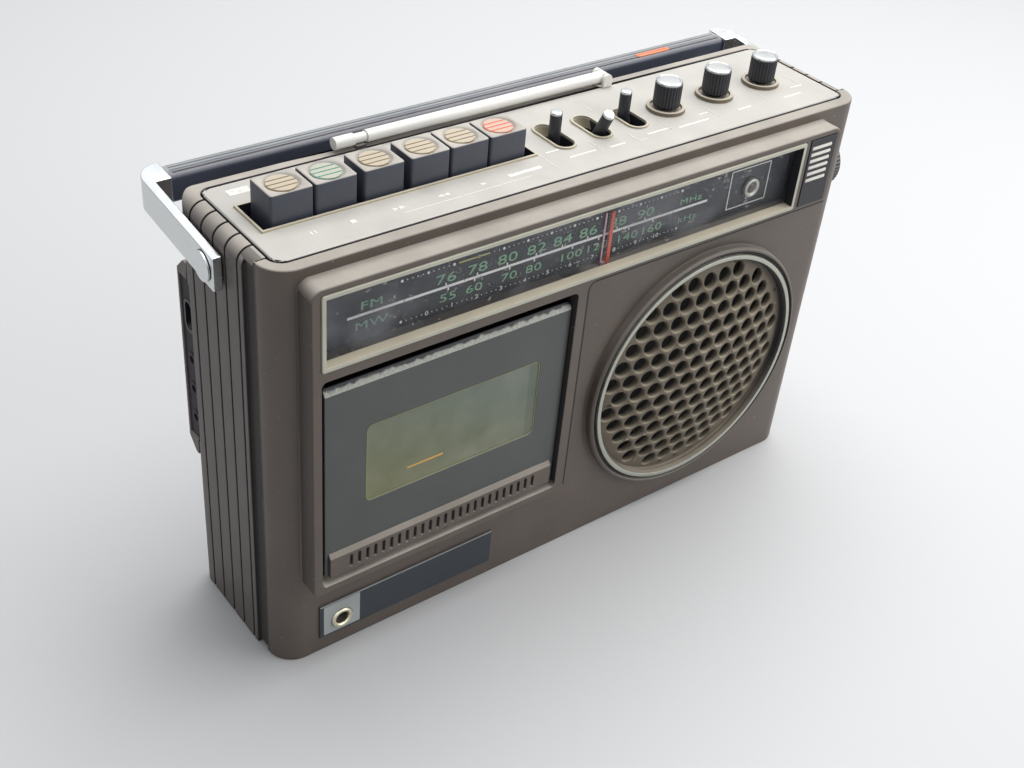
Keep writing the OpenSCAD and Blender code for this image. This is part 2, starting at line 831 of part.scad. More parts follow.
module speaker_grille() {
    back = grille_sink + grille_t;
    dome_r = (ring_in * ring_in + dome_rise * dome_rise) / (2 * dome_rise);
    dome_mid = grille_sink - dome_rise + dome_r;
    reach = ring_in - hole_r - 0.6;
    row = hole_pitch * sqrt(3) / 2;
    rows = floor(reach / row);
    color([0.55, 0.5, 0.42]) difference() {
        union() {
            speaker_turned([[ring_in, ring_seat], [grille_r, ring_seat], [grille_r, back], [ring_in, back]]);
            intersection() {
                bar_y(grille_sink - dome_rise - over, back, speaker_x, speaker_h, ring_in + cup_t / 2);
                at(speaker_x, dome_mid, speaker_h) difference() {
                    sphere(dome_r);
                    sphere(dome_r - grille_t);
                }
            }
        }
        for (j = [-rows:rows], i = [-rows - 2:rows + 2]) {
            x = (i + abs(j) % 2 / 2) * hole_pitch;
            z = j * row;
            if (norm([x, z]) < reach)
                bar_y(grille_sink - dome_rise - over, back + over, speaker_x + x, speaker_h + z, hole_r);
        }
    }
}

module speaker_basket() {
    back = flange_at + basket_depth;
    flange_r = speaker_post_ring + speaker_post_r + 0.5;
    color(steel) speaker_turned([
        [cone_r - 1, flange_at], [flange_r, flange_at],
        [flange_r, flange_at + 1.5], [cone_r + 0.6, flange_at + 1.5],
        [magnet_r + 3, back], [voice_r + 3, back], [voice_r + 3, back - 1.4], [magnet_r + 2, back - 1.4],
        [cone_r - 1, flange_at + 1.5]
    ]);
}

module speaker_cone() {
    front = flange_at - 0.9;
    deep = flange_at + basket_depth - 5;
    color([0.2, 0.19, 0.18]) speaker_turned([
        [cone_r - 6, front], [cone_r + 2, front],
        [cone_r + 2, flange_at - seat], [cone_r - 5.4, flange_at - seat],
        [voice_r + 1, deep], [0, deep], [0, deep - 1], [voice_r, deep - 1]
    ]);
}

module speaker_magnet() {
    front = flange_at + basket_depth + seat;
    color(steel) bar_y(front, front + magnet_t, speaker_x, speaker_h, magnet_r);
}

module name_plate() {
    color([0.17, 0.19, 0.23]) difference() {
        wall_y(-name_t, 0) box2(name_x0, name_z0, name_x0 + name_w, name_z0 + name_h);
        bar_y(-name_t - over, over, phone_x, phone_h, phone_ring_r + seat);
    }
}

module phone_jack() {
    mouth = -name_t - 1.2;
    color([0.8, 0.76, 0.6]) difference() {
        bar_y(mouth, mouth + phone_len, phone_x, phone_h, phone_ring_r);
        bar_y(mouth - over, mouth + phone_len - 1.5, phone_x, phone_h, phone_r);
    }
}

module level_lamp() {
    color(silver) difference() {
        bar_y(dial_plate_d - 2.2, dial_plate_d - seat, lamp_x, lamp_h, lamp_r);
        bar_y(dial_plate_d - 2.2 - over, dial_plate_d - 1.2, lamp_x, lamp_h, lamp_r - 2.4);
    }
}

module main_board() {
    color([0.45, 0.33, 0.16]) block(board_x0, board_d, board_z0, board_x1, board_d + board_t, board_z1);
    color(slate) for (n = [0:5])
        bar_y(board_d - part_h - part_grow * (n % 3), board_d, board_x0 + part_from + part_pitch * n,
              board_z1 - part_drop - part_step * (n % 2), part_r + part_grow * (n % 3));
}

module deck_plate() {
    color(steel) difference() {
        wall_y(deck_d, deck_back) box2(deck_x0, door_z0 - 3, deck_x1, door_z1 + 2);
        for (s = [-1, 1])
            bar_y(deck_d - over, deck_back + over, door_x + s * hub_pitch / 2, hub_h, spindle_r + pin_gap);
        bar_y(deck_d - over, deck_back + over, capstan_x, capstan_h, capstan_r + pin_gap);
    }
}

module drive_motor() {
    color(steel) difference() {
        bar_y(deck_back + seat, motor_back, motor_x, motor_h, motor_r);
        bar_y(motor_back - motor_bore, motor_back + over, motor_x, motor_h, capstan_r + pin_gap);
    }
}

module motor_pulley() {
    color([0.75, 0.65, 0.4]) {
        bar_y(motor_back - motor_bore + run, fly_d + fly_t, motor_x, motor_h, capstan_r);
        bar_y(fly_d, fly_d + fly_t - 0.5, motor_x, motor_h, pulley_r);
    }
}

module capstan_flywheel() {
    color(steel) {
        bar_y(spindle_front, fly_d + fly_t + 1, capstan_x, capstan_h, capstan_r);
        bar_y(fly_d, fly_d + fly_t, capstan_x, capstan_h, fly_r);
        bar_y(deck_back + run, fly_d, capstan_x, capstan_h, fly_hub_r);
    }
}

// Outline of a belt that runs round the flywheel and the motor pulley, grown by grow
module belt_outline(grow) {
    a = fly_r + grow;
    b = pulley_r + grow;
    run_x = motor_x - capstan_x;
    run_z = motor_h - capstan_h;
    lean = atan2(run_z, run_x);
    open = acos((a - b) / norm([run_x, run_z]));
    steps = 24;
    polygon(concat(
        [for (n = [0:steps]) let (t = lean + open + n / steps * (360 - 2 * open))
            [capstan_x + a * cos(t), capstan_h + a * sin(t)]],
        [for (n = [0:steps / 2]) let (t = lean - open + n / steps * 4 * open)
            [motor_x + b * cos(t), motor_h + b * sin(t)]]
    ));
}

module drive_belt() {
    color(black) wall_y(fly_d + 1, fly_d + 1 + belt_w) difference() {
        belt_outline(run + belt_t);
        belt_outline(run);
    }
}

module spindle(x) {
    color(stone) {
        bar_y(spindle_front, deck_back + run + spindle_wheel_t / 2, x, hub_h, spindle_r);
        bar_y(deck_d - run - spindle_disc_t, deck_d - run, x, hub_h, spindle_disc_r);
        bar_y(deck_back + run, deck_back + run + spindle_wheel_t, x, hub_h, spindle_wheel_r);
        for (a = [90, 210, 330])
            wall_y(spindle_front + 2, deck_d - run) translate([x, hub_h])
                rotate(a) box2(0, -fin_t / 2, spindle_r + fin_reach, fin_t / 2);
    }
}

module supply_spindle() {
    spindle(door_x - hub_pitch / 2);
}

module takeup_spindle() {
    spindle(door_x + hub_pitch / 2);
}

module head_bridge() {
    color(silver) {
        block(door_x - bridge_half, bridge_d0, bridge_low, door_x + bridge_half, deck_d - run, pinch_h + 2);
        for (h = [[door_x, 6], [door_x - 20, 4]])
            block(h[0] - h[1], axle_front, pinch_h - 4, h[0] + h[1], bridge_d0 + 0.5, cassette_low - 1);
        bar_y(axle_front, bridge_d0 + 0.5, capstan_x, pinch_h, axle_r);
    }
}

module pinch_roller() {
    color(black) difference() {
        bar_y(axle_front + 0.4, bridge_d0 - run, capstan_x, pinch_h, pinch_r);
        bar_y(axle_front - over, bridge_d0 + over, capstan_x, pinch_h, axle_r + pin_gap);
    }
}

module power_transformer() {
    x1 = side_x - wall - transformer_side;
    d1 = case_d - wall - transformer_back;
    d0 = d1 - transformer_d;
    low = wall + seat;
    side = (transformer_w - coil_w) / 2;
    foot = low + (transformer_h - coil_h) / 2;
    color([0.35, 0.35, 0.37]) block(x1 - transformer_w, d0, low, x1, d1, low + transformer_h);
    color([0.7, 0.45, 0.2]) block(x1 - side - coil_w, d0 - coil_d, foot, x1 - side, d0, foot + coil_h);
}

module tuning_capacitor() {
    x1 = rear_x - wall - band_depth - seat;
    color(silver) difference() {
        block(tuner_x0, tuning_d - 8, tuning_h - 9, x1, tuning_d + 10, tuning_h + 9);
        bar_x(tuner_x0 + 8, x1 + over, tuning_d, tuning_h, shaft_r + pin_gap);
    }
}

module tuning_knob() {
    face = rear_x + tuning_gap;
    flute_n = 40;
    color(black) {
        difference() {
            bar_x(face, face + tuning_w, tuning_d, tuning_h, tuning_r);
            for (n = [0:flute_n - 1])
                bar_x(face - over, face + tuning_w + over, tuning_d + tuning_r * cos(360 * n / flute_n),
                      tuning_h + tuning_r * sin(360 * n / flute_n), 0.6);
        }
        bar_x(tuner_x0 + 10, face + over, tuning_d, tuning_h, shaft_r);
    }
}

module control_bank() {
    x0 = lever_x0 - bank_side;
    x1 = knob_xs[2] + bank_end;
    pivot = case_h - lever_drop;
    color([0.45, 0.33, 0.16])
        block(x0, knob_mid - bank_half, bank_top - board_t, x1, knob_mid + bank_half, bank_top);
    color(steel) for (x = knob_xs) difference() {
        union() {
            bar_z(bank_top - board_t / 2, plate_low - pot_drop, x, knob_mid, pot_r);
            bar_z(plate_low - pot_drop - over, plate_low - seat, x, knob_mid, shaft_r + bush_t);
        }
        bar_z(bank_top + pot_floor, plate_low + over, x, knob_mid, shaft_r + pin_gap);
    }
    color(steel) for (n = [0:2], s = [-1, 1]) difference() {
        d = levers[n][0];
        half = bracket_t / 2;
        x = lever_x0 + n * lever_pitch + s * (lever_r + bracket_gap + half);
        block(x - half, d - bracket_half, bank_top - board_t / 2,
              x + half, d + bracket_half, pivot + bracket_rise);
        bar_x(x - bracket_t, x + bracket_t, d, pivot, axle_r + pin_gap);
    }
}

module lever(n) {
    x = lever_x0 + n * lever_pitch;
    lean = levers[n][3];
    long = lever_drop + lever_h / cos(lean);
    pin_len = 2 * (lever_r + bracket_gap) + 1.8 * bracket_t;
    color(black) at(x, levers[n][0], case_h - lever_drop) rotate([lean, 0, 0]) {
        cylinder(h = long - 1.2, r = lever_r);
        rotate([0, 90, 0]) cylinder(h = 2 * lever_r, r = lever_r, center = true);
        rotate([0, 90, 0]) cylinder(h = pin_len, r = axle_r, center = true);
    }
    color(silver) at(x, levers[n][0], case_h - lever_drop) rotate([lean, 0, 0])
        translate([0, 0, long - 1.2]) cylinder(h = 1.2, r1 = lever_r + 0.1, r2 = lever_r - 0.4);
}

module lever_band() {
    lever(0);
}

module lever_mode() {
    lever(1);
}

module lever_power() {
    lever(2);
}

module knob(n) {
    x = knob_xs[n];
    low = case_h + knob_float;
    top = case_h + knob_h;
    flute_n = 24;
    flute_r = 0.4;
    color(black) difference() {
        bar_z(low, top - 1.2, x, knob_mid, knob_r);
        for (k = [0:flute_n - 1]) {
            turn = 360 * k / flute_n;
            bar_z(low - over, top - 2.4, x + knob_r * cos(turn), knob_mid + knob_r * sin(turn), flute_r);
        }
    }
    color(silver) at(x, knob_mid, top - 1.2) cylinder(h = 1.2, r1 = knob_r, r2 = knob_r - 0.6);
    color(black) bar_z(bank_top + pot_floor + run, low + over, x, knob_mid, shaft_r);
}

module knob_volume() {
    knob(0);
}

module knob_bass() {
    knob(1);
}

module knob_treble() {
    knob(2);
}

// A key: a block with a recessed round pad across which three grooves run, on a stem
module key(n) {
    x = key_xs[n];
    top = case_h + key_h;
    low = case_h - key_foot;
    color(slate) difference() {
        union() {
            plan_z(low, top) round2(x - key_w / 2, key_front, x + key_w / 2, key_front + key_d, 1.2);
            block(x - stem_w / 2, key_mid - stem_w / 2, plate_low - tub_h - 3,
                  x + stem_w / 2, key_mid + stem_w / 2, low + over);
        }
        plan_z(top - disc_sink, top + over) difference() {
            translate([x, key_mid]) circle(disc_r + 0.4);
            translate([x, key_mid]) circle(disc_r);
        }
        plan_z(top - disc_sink, top + over) intersection() {
            translate([x, key_mid]) circle(disc_r);
            for (g = [-1:1]) translate([x, key_mid + 3.1 * g]) square([2 * disc_r + 2, 0.8], center = true);
        }
    }
}

module key_pause() {
    key(0);
}

module key_stop() {
    key(1);
}

module key_forward() {
    key(2);
}

module key_rewind() {
    key(3);
}

module key_play() {
    key(4);
}

module key_record() {
    key(5);
}

module door_panel() {
    color([0.29, 0.31, 0.3]) {
        difference() {
            wall_y(panel_d, panel_back) round2(panel_x0, panel_z0, panel_x1, panel_z1, 1);
            wall_y(panel_d - over, panel_back + over) round2(window_x0, window_z0, window_x1, window_z1, 3);
            span_x(panel_x0 - over, panel_x1 + over) polygon([
                [panel_d - over, panel_z1 - lip_h], [panel_d, panel_z1 - lip_h], [panel_d + lip_d, panel_z1],
                [panel_d + lip_d, panel_z1 + over], [panel_d - over, panel_z1 + over]
            ]);
        }
        for (x = [panel_x0, panel_x1 - 6])
            block(x, panel_back - over, hinge_h - 2.2, x + 6, hinge_d + 2, hinge_h + 2.2);
        bar_x(door_x0 - well_wall / 2, panel_x0 + 2, hinge_d, hinge_h, hinge_r);
        bar_x(panel_x1 - 2, door_x1 + well_wall / 2, hinge_d, hinge_h, hinge_r);
    }
}

module door_window() {
    color([0.5, 0.54, 0.38, 0.6]) wall_y(panel_d + 0.4, panel_d + 0.4 + pane_t)
        round2(window_x0 + seat, window_z0 + seat, window_x1 - seat, window_z1 - seat, 3 - seat);
}

module vent_strip() {
    x0 = panel_x0 + vent_in;
    x1 = panel_x1 - vent_in - 0.6;
    mid = (x0 + x1) / 2;
    color(brown) difference() {
        wall_y(panel_d - vent_t, panel_d) box2(x0, panel_z0, x1, panel_z0 + vent_h);
        for (n = [0:vent_n - 1])
            wall_y(panel_d - vent_t - over, panel_d + over)
                translate([mid + (n - (vent_n - 1) / 2) * vent_pitch, panel_z0 + vent_h / 2])
                    slot2(vent_slot_w, vent_slot_h);
    }
}

module cassette_carrier() {
    x0 = door_x - cassette_w / 2 - 1;
    x1 = door_x + cassette_w / 2 + 1;
    back = panel_back + seat + rail_t + cassette_t;
    top = cassette_low + cassette_h;
    color(steel) for (s = [[x0, 1], [x1, -1]]) {
        edge = s[0];
        way = s[1];
        lip = 5;
        outer = min(edge, edge - way * rail_t);
        inner = min(edge, edge + way * lip);
        block(outer, panel_back + seat, cassette_low - rail_t, outer + rail_t, back, top);
        block(min(outer, inner), panel_back + seat, cassette_low - rail_t, max(outer + rail_t, inner + lip),
              panel_back + seat + rail_t, top);
        block(min(outer, inner), back - rail_t, cassette_low - rail_t, max(outer + rail_t, inner + lip),
              back, top - 30);
        block(min(outer, inner), panel_back + seat, cassette_low - rail_t, max(outer + rail_t, inner + lip),
              back, cassette_low);
    }
}

module battery_contacts() {
    d = bay_in_back - bay_in_d / 2;
    color(silver) for (s = [[bay_in_x0 + seat, 1], [bay_in_x0 + bay_in_w - seat, -1]], row = [0.25, 0.75]) {
        x = min(s[0], s[0] + s[1] * contact_t);
        h = bay_in_z0 + bay_in_h * row;
        tip = s[0] + s[1] * stud_len;
        block(x, d - contact_half_d, h - contact_half_h,
              x + contact_t, d + contact_half_d, h + contact_half_h);
        bar_x(min(s[0], tip), max(s[0], tip), d, h, contact_r);
    }
}

module battery_cover() {
    x0 = bay_in_x0 + run;
    x1 = bay_in_x0 + bay_in_w - run;
    color(dark_brown) {
        block(x0, case_d - wall, cover_pin_h, x1, case_d, bay_in_z0 + bay_in_h - run);
        bar_x(x0, x1, cover_pin_d, cover_pin_h, wall / 2);
        bar_x(x0 - run - cover_pin_len, x1 + run + cover_pin_len, cover_pin_d, cover_pin_h, cover_pin_r);
    }
}

module inlet_outline(grow) {
    for (s = [-1, 1]) translate([port_mid, inlet_h + s * inlet_pitch / 2]) circle(inlet_r + grow);
    half = inlet_r + grow;
    box2(port_mid - half, inlet_h - inlet_pitch / 2, port_mid + half, inlet_h + inlet_pitch / 2);
}

module jack_panel() {
    color(black) difference() {
        span_x(port_x, port_x + port_t)
            box2(port_d0 + seat, port_z0 + seat, port_d1 - seat, port_z1 - seat);
        for (h = mini_places) bar_x(port_x - over, port_x + port_t + over, port_mid, h, mini_r + seat);
        span_x(port_x - over, port_x + port_t + over) inlet_outline(seat);
    }
}

module mini_jacks() {
    color(silver) for (h = mini_places) difference() {
        bar_x(port_x - 0.4, port_x + mini_len, port_mid, h, mini_r);
        bar_x(port_x - over, port_x + mini_len - 1.5, port_mid, h, jack_r);
    }
}

module mains_inlet() {
    depth = 13;
    color(black) {
        difference() {
            span_x(port_x - 0.4, port_x + depth) inlet_outline(0);
            span_x(port_x - over, port_x + depth - 2) inlet_outline(-1.1);
        }
        for (s = [-1, 1])
            bar_x(port_x + 3, port_x + depth - 1, port_mid, inlet_h + s * inlet_pitch / 2, prong_r);
    }
}

module handle_pivots() {
    inner = rear_x - wall - seat;
    color(silver) for (s = [0, 1]) mirror([s, 0, 0]) {
        bar_x(inner - 2, inner, pivot_d, pivot_h, stud_r + 2);
        bar_x(inner - over, arm_x1 + run + over / 2, pivot_d, pivot_h, stud_r);
        bar_x(arm_x1 + run, arm_x1 + run + cap_t, pivot_d, pivot_h, cap_r);
    }
}

// Plan of a handle arm: a flat bar that turns inwards round a rounded corner to hold the grip
module arm_plan() {
    block_d = grip_d + 1.5;
    box2(arm_x0, pivot_d - arm_front - over, arm_x1, grip_back - corner_r);
    intersection() {
        round2(grip_x - 2 * corner_r, grip_back - 4 * corner_r, arm_x1, grip_back, corner_r);
        box2(grip_x, grip_back - block_d, arm_x1, grip_back);
    }
}

module arm_profile() {
    polygon([
        [pivot_d - arm_front, pivot_h + arm_up], [grip_back, grip_top],
        [grip_back, grip_top - grip_h], [pivot_d - arm_front, pivot_h - arm_down]
    ]);
}

module handle_arm() {
    color(silver) difference() {
        intersection() {
            plan_z(pivot_h - 2 * arm_down, grip_top + over) arm_plan();
            span_x(grip_x - over, arm_x1 + over) arm_profile();
        }
        bar_x(arm_x0 - over, arm_x1 + over, pivot_d, pivot_h, stud_r + pin_gap);
    }
}

module handle_arm_right() {
    handle_arm();
}

module handle_arm_left() {
    mirror([1, 0, 0]) handle_arm();
}

module handle_grip() {
    color(black) difference() {
        span_x(-grip_x + seat, grip_x - seat)
            round2(grip_back - grip_d, grip_top - grip_h, grip_back - 0.6, grip_top - 1, 2.5);
        for (n = [1:grip_groove_n]) {
            d = grip_back - grip_d + n * grip_d / (grip_groove_n + 1);
            block(-grip_x + 2, d - 0.3, grip_top - 1.6, grip_x - 2, d + 0.3, grip_top + over);
        }
    }
}

module case_screws() {
    color(steel) for (p = screw_places) {
        bar_y(case_d - 1.2, case_d + 0.4, p[0], p[1], screw_r);
        bar_y(case_d - screw_len, case_d - 1, p[0], p[1], screw_shank);
    }
}

module ferrite_aerial() {
    d = case_d - wall - aerial_back;
    h = case_h - wall - aerial_drop;
    color(black) bar_x(-ferrite_len / 2, ferrite_len / 2, d, h, ferrite_r);
    color([0.7, 0.45, 0.2]) bar_x(aerial_coil_x, aerial_coil_x + aerial_coil_len, d, h, aerial_coil_r);
    color(stone) for (x = [-clip_x, clip_x])
        block(x - clip_w / 2, d - clip_half, h - clip_half,
              x + clip_w / 2, case_d - wall - seat, h + clip_half);
}

module antenna_turret() {
    low = case_h + run;
    color(silver) {
        bar_z(low, low + turret_t, rod_x, rod_d, turret_r);
        bar_z(plate_low - swivel_len + over, low + 0.3, rod_x, rod_d, swivel_r);
        for (s = [-1, 1]) {
            d0 = rod_d + s * (rod_r + run + ear_t / 2) - ear_t / 2;
            block(rod_x - 2.4, d0, low, rod_x + 2.4, d0 + ear_t, rod_h);
            bar_y(d0, d0 + ear_t, rod_x, rod_h, 2.4);
        }
        bar_y(rod_d - rod_r - run - 0.2, rod_d + rod_r + run + 0.2, rod_x, rod_h, 1);
    }
}

module antenna_tube() {
    color(silver) difference() {
        union() {
            bar_x(rod_x - rod_len, rod_x, rod_d, rod_h, rod_r);
            bar_y(rod_d - rod_r + 0.4, rod_d + rod_r - 0.4, rod_x, rod_h, rod_r - 0.2);
        }
        bar_x(rod_x - rod_len - over, rod_x - 8, rod_d, rod_h, rod_r - tube_wall);
        bar_y(rod_d - rod_r - over, rod_d + rod_r + over, rod_x, rod_h, 1 + pin_gap);
    }
}

module antenna_rod() {
    color(silver) {
        bar_x(tip_x0 - over, rod_x - 9, rod_d, rod_h, tube2_r);
        bar_x(tip_x0 - tip_len, tip_x0, rod_d, rod_h, rod_r);
    }
}

front_shell();
rear_shell();
top_plate();
dial_frame();
dial_window();
dial_plate();
mic_panel();
speaker_ring();
speaker_grille();
speaker_basket();
speaker_cone();
speaker_magnet();
name_plate();
phone_jack();
level_lamp();
main_board();
deck_plate();
drive_motor();
power_transformer();
tuning_capacitor();
control_bank();
battery_contacts();
jack_panel();
mains_inlet();
mini_jacks();
handle_pivots();
case_screws();
ferrite_aerial();
drive_belt();
battery_cover();
door_panel();
door_window();
vent_strip();
cassette_carrier();
key_pause();
key_stop();
key_forward();
key_rewind();
key_play();
key_record();
lever_band();
lever_mode();
lever_power();
knob_volume();
knob_bass();
knob_treble();
tuning_knob();
dial_pointer();
supply_spindle();
takeup_spindle();
capstan_flywheel();
motor_pulley();
head_bridge();
pinch_roller();
handle_arm_left();
handle_arm_right();
handle_grip();
antenna_turret();
antenna_tube();
antenna_rod();
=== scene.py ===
# %% [markdown]
# # A portable radio cassette recorder
# This lesson dresses an exact model of a radio cassette recorder for a photograph-like render. The solids
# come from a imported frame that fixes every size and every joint, so a new piece never has to be fitted: it
# is worked out where the frame says it belongs. All shapes are worked out in millimetres and scaled once.

# %% Load the frame
import json
import math

import bmesh
import bpy
import numpy as np
from mathutils import Matrix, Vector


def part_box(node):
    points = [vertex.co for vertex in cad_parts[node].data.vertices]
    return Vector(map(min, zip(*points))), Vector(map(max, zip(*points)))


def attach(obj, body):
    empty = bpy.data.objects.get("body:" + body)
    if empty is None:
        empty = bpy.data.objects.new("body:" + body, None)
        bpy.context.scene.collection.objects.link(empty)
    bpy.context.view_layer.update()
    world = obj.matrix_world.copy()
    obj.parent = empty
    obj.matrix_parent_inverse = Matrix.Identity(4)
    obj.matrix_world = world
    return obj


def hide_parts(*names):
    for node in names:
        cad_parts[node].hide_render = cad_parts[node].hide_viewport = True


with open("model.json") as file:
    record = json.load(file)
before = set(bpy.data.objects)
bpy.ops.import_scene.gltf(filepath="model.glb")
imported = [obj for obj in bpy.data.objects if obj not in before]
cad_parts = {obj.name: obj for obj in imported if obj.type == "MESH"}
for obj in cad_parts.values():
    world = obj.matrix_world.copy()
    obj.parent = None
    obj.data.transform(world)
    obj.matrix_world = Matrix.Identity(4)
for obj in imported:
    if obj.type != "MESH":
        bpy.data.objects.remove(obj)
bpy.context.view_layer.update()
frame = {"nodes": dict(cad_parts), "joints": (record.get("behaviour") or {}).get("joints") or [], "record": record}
scene = bpy.context.scene
scene.view_settings.view_transform = "Standard"
MM = 0.001

# %% [markdown]
# ## The camera
# The set is seen from its front left corner and from above, with the camera leaning a little to one side.
# A camera can be aimed with a constraint, but three angles and a place say the same thing plainly: the way
# it looks along the ground, how far it looks down, and its lean.

# %% Camera
CAMERA_AT = (-340.65, -390.03, 456.23)
CAMERA_HEADING = math.radians(40.29)
CAMERA_DOWN = math.radians(36.74)
CAMERA_LEAN = math.radians(5.68)
CAMERA_LENS = 47.95
CAMERA_SENSOR = 36


def aimed(right, ahead, place):
    """The matrix of a camera or lamp at a place in metres: x to the right, y up and z against its view."""
    matrix = np.eye(4)
    matrix[:3] = np.stack([right, np.cross(right, ahead), -ahead, place], 1)
    return Matrix(matrix.tolist())


def add_camera():
    """Looks along heading and down: right is level, up is square to both, and both turn by the lean."""
    flat = math.cos(CAMERA_DOWN)
    level = np.array([math.cos(CAMERA_HEADING), -math.sin(CAMERA_HEADING), 0.0])
    ahead = np.array([-level[1] * flat, level[0] * flat, -math.sin(CAMERA_DOWN)])
    right = math.cos(CAMERA_LEAN) * level + math.sin(CAMERA_LEAN) * np.cross(level, ahead)
    camera = bpy.data.objects.new("camera", bpy.data.cameras.new("camera"))
    camera.data.lens = CAMERA_LENS
    camera.data.sensor_width = CAMERA_SENSOR
    camera.data.clip_start = 10 * MM
    camera.matrix_world = aimed(right, ahead, np.array(CAMERA_AT) * MM)
    scene.collection.objects.link(camera)
    scene.camera = camera


add_camera()
print("camera lens in mm:", CAMERA_LENS)

# %% [markdown]
# ## Finishes
# The set is old and dusty: the same brown plastic is dark on the sides and pale on every face that looks
# up, because dust lies there. So each finish starts from its own colour, mottles it in soft patches, adds
# the fine grain of the mould as a bump, and then lays dust by the surface's own upward direction. The
# direction is read in the piece's rest position, so the dust stays put when a piece moves.

# %% Helpers for finishes
FINISH = {}


def srgb(red, green, blue):
    """The linear colour of a screen colour whose parts run from 0 to 255."""
    share = np.array([red, green, blue]) / 255
    linear = np.where(share <= 0.04045, share / 12.92, ((share + 0.055) / 1.055) ** 2.4)
    return (*linear.tolist(), 1.0)


def shade(colour, times):
    """A colour made lighter or darker by a factor."""
    return (*[min(1.0, c * times) for c in colour[:3]], 1.0)


def wire(tree, made, sockets):
    """Links an input that is given a socket, and sets an input that is given a value."""
    for key, value in sockets.items():
        if isinstance(value, bpy.types.NodeSocket):
            tree.links.new(value, made.inputs[key])
        else:
            made.inputs[key].default_value = value


def node(tree, kind, sockets=None, **settings):
    """Adds a shader node and gives back its outputs."""
    made = tree.nodes.new("ShaderNode" + kind)
    for key, value in settings.items():
        setattr(made, key, value)
    wire(tree, made, sockets or {})
    return made.outputs


def blank(name):
    """A new material, kept by its name, with its node tree and its shader."""
    material = FINISH[name] = bpy.data.materials.new(name)
    material.use_nodes = True
    tree = material.node_tree
    return material, tree, tree.nodes["Principled BSDF"]


def noise(tree, vector, scale, detail=2.0):
    """A cloudy noise of that scale and detail."""
    return node(tree, "TexNoise", {"Vector": vector, "Scale": scale, "Detail": detail})["Fac"]


def ramp(tree, value, low=0.0, high=1.0, start=0.0, end=1.0):
    """Runs evenly from start to end while a value runs from low to high."""
    return node(tree, "MapRange", {"Value": value, "From Min": low, "From Max": high, "To Min": start,
                                   "To Max": end})["Result"]


def mix(tree, share, first, second):
    """The first colour where the share is nought, the second where it is one."""
    return node(tree, "MixRGB", {"Fac": share, "Color1": first, "Color2": second})["Color"]


def maths(tree, operation, *values):
    """A product, a sum or the largest of some values."""
    return node(tree, "Math", dict(enumerate(values)), operation=operation)["Value"]


def speckle(tree, place, scale, low, high, most):
    """Small spots where a noise of that scale passes from low to high; their strength goes up to most."""
    return ramp(tree, noise(tree, place["Object"], scale), low, high, 0.0, most)


# %% Plastic, metal and ink
DUST = srgb(206, 199, 187)
DUST_ROUGH = 0.92
GRAIN_DEPTH = 0.3 * MM
SCRATCH_DEPTH = 0.2 * MM


def moulded(name, colour, rough=0.5, dust=0.0, specks=0.0, mottle=0.1, grain=0.15, grain_scale=1500.0,
            dust_colour=DUST, hole_shade=None):
    """Moulded plastic: colour in patches, grain as bump, dust on what faces up and in scattered specks. A hole
    shade is painted shade, given as a ball's middle, two distances from it and a share: from the farther to
    the nearer distance, the colour sinks to that share of itself, as shade does in deep holes."""
    material, tree, shader = blank(name)
    place = node(tree, "TexCoord")
    cloud = noise(tree, place["Object"], 45.0, 6.0)
    tone = mix(tree, cloud, shade(colour, 1 - 2 * mottle), shade(colour, 1 + 2 * mottle))
    lying = ramp(tree, node(tree, "SeparateXYZ", {"Vector": place["Normal"]})["Z"], 0.2, 0.9, 0.0, dust)
    settled = maths(tree, "MULTIPLY", lying, ramp(tree, cloud, 0.3, 0.62, 0.72))
    dusted = maths(tree, "MAXIMUM", settled, speckle(tree, place, 800.0, 0.72, 0.78, specks))
    seen = mix(tree, dusted, tone, dust_colour)
    # Painted shade: the colour is scaled down near the ball's middle, as in deep holes.
    if hole_shade:
        ball, outer, inner, share = hole_shade
        apart = node(tree, "VectorMath", {0: place["Object"], 1: ball}, operation="DISTANCE")["Value"]
        kept = ramp(tree, apart, inner, outer, share)
        seen = node(tree, "VectorMath", {0: seen, "Scale": kept}, operation="SCALE")["Vector"]
    fine = noise(tree, place["Object"], grain_scale, 3.0)
    bump = node(tree, "Bump", {"Strength": grain, "Distance": GRAIN_DEPTH, "Height": fine})
    dull = ramp(tree, dusted, start=rough, end=DUST_ROUGH)
    wire(tree, shader, {"Base Color": seen, "Roughness": dull, "Normal": bump["Normal"]})
    return material


def metal(name, colour, rough=0.2, smudge=0.12, dust=0.0, scratch=0.05):
    """Plated or bare metal: smudges change its roughness, fine scratches run along it, dust dulls it."""
    material, tree, shader = blank(name)
    place = node(tree, "TexCoord")
    lying = ramp(tree, node(tree, "SeparateXYZ", {"Vector": place["Normal"]})["Z"], 0.3, 0.95, 0.0, dust)
    dusted = maths(tree, "MAXIMUM", lying, speckle(tree, place, 600.0, 0.64, 0.72, dust))
    along = node(tree, "Mapping", {"Vector": place["Object"], "Scale": (60.0, 2600.0, 2600.0)})["Vector"]
    hair = noise(tree, along, 1.0)
    bump = node(tree, "Bump", {"Strength": scratch, "Distance": SCRATCH_DEPTH, "Height": hair})
    dull = ramp(tree, noise(tree, place["Object"], 130.0, 5.0), 0.3, 0.7, rough, rough + smudge)
    gleam = ramp(tree, dusted, start=1.0, end=0.0)
    wire(tree, shader, {"Base Color": mix(tree, dusted, colour, DUST), "Metallic": gleam, "Roughness": dull,
                        "Normal": bump["Normal"]})
    return material


def printed(name, colour, worn=0.25):
    """Screen printed ink: an even colour that wear has thinned in small patches."""
    material, tree, shader = blank(name)
    patch = speckle(tree, node(tree, "TexCoord"), 900.0, 0.5, 0.75, worn)
    wire(tree, shader, {"Base Color": mix(tree, patch, colour, shade(colour, 0.45)), "Roughness": 0.55})
    return material
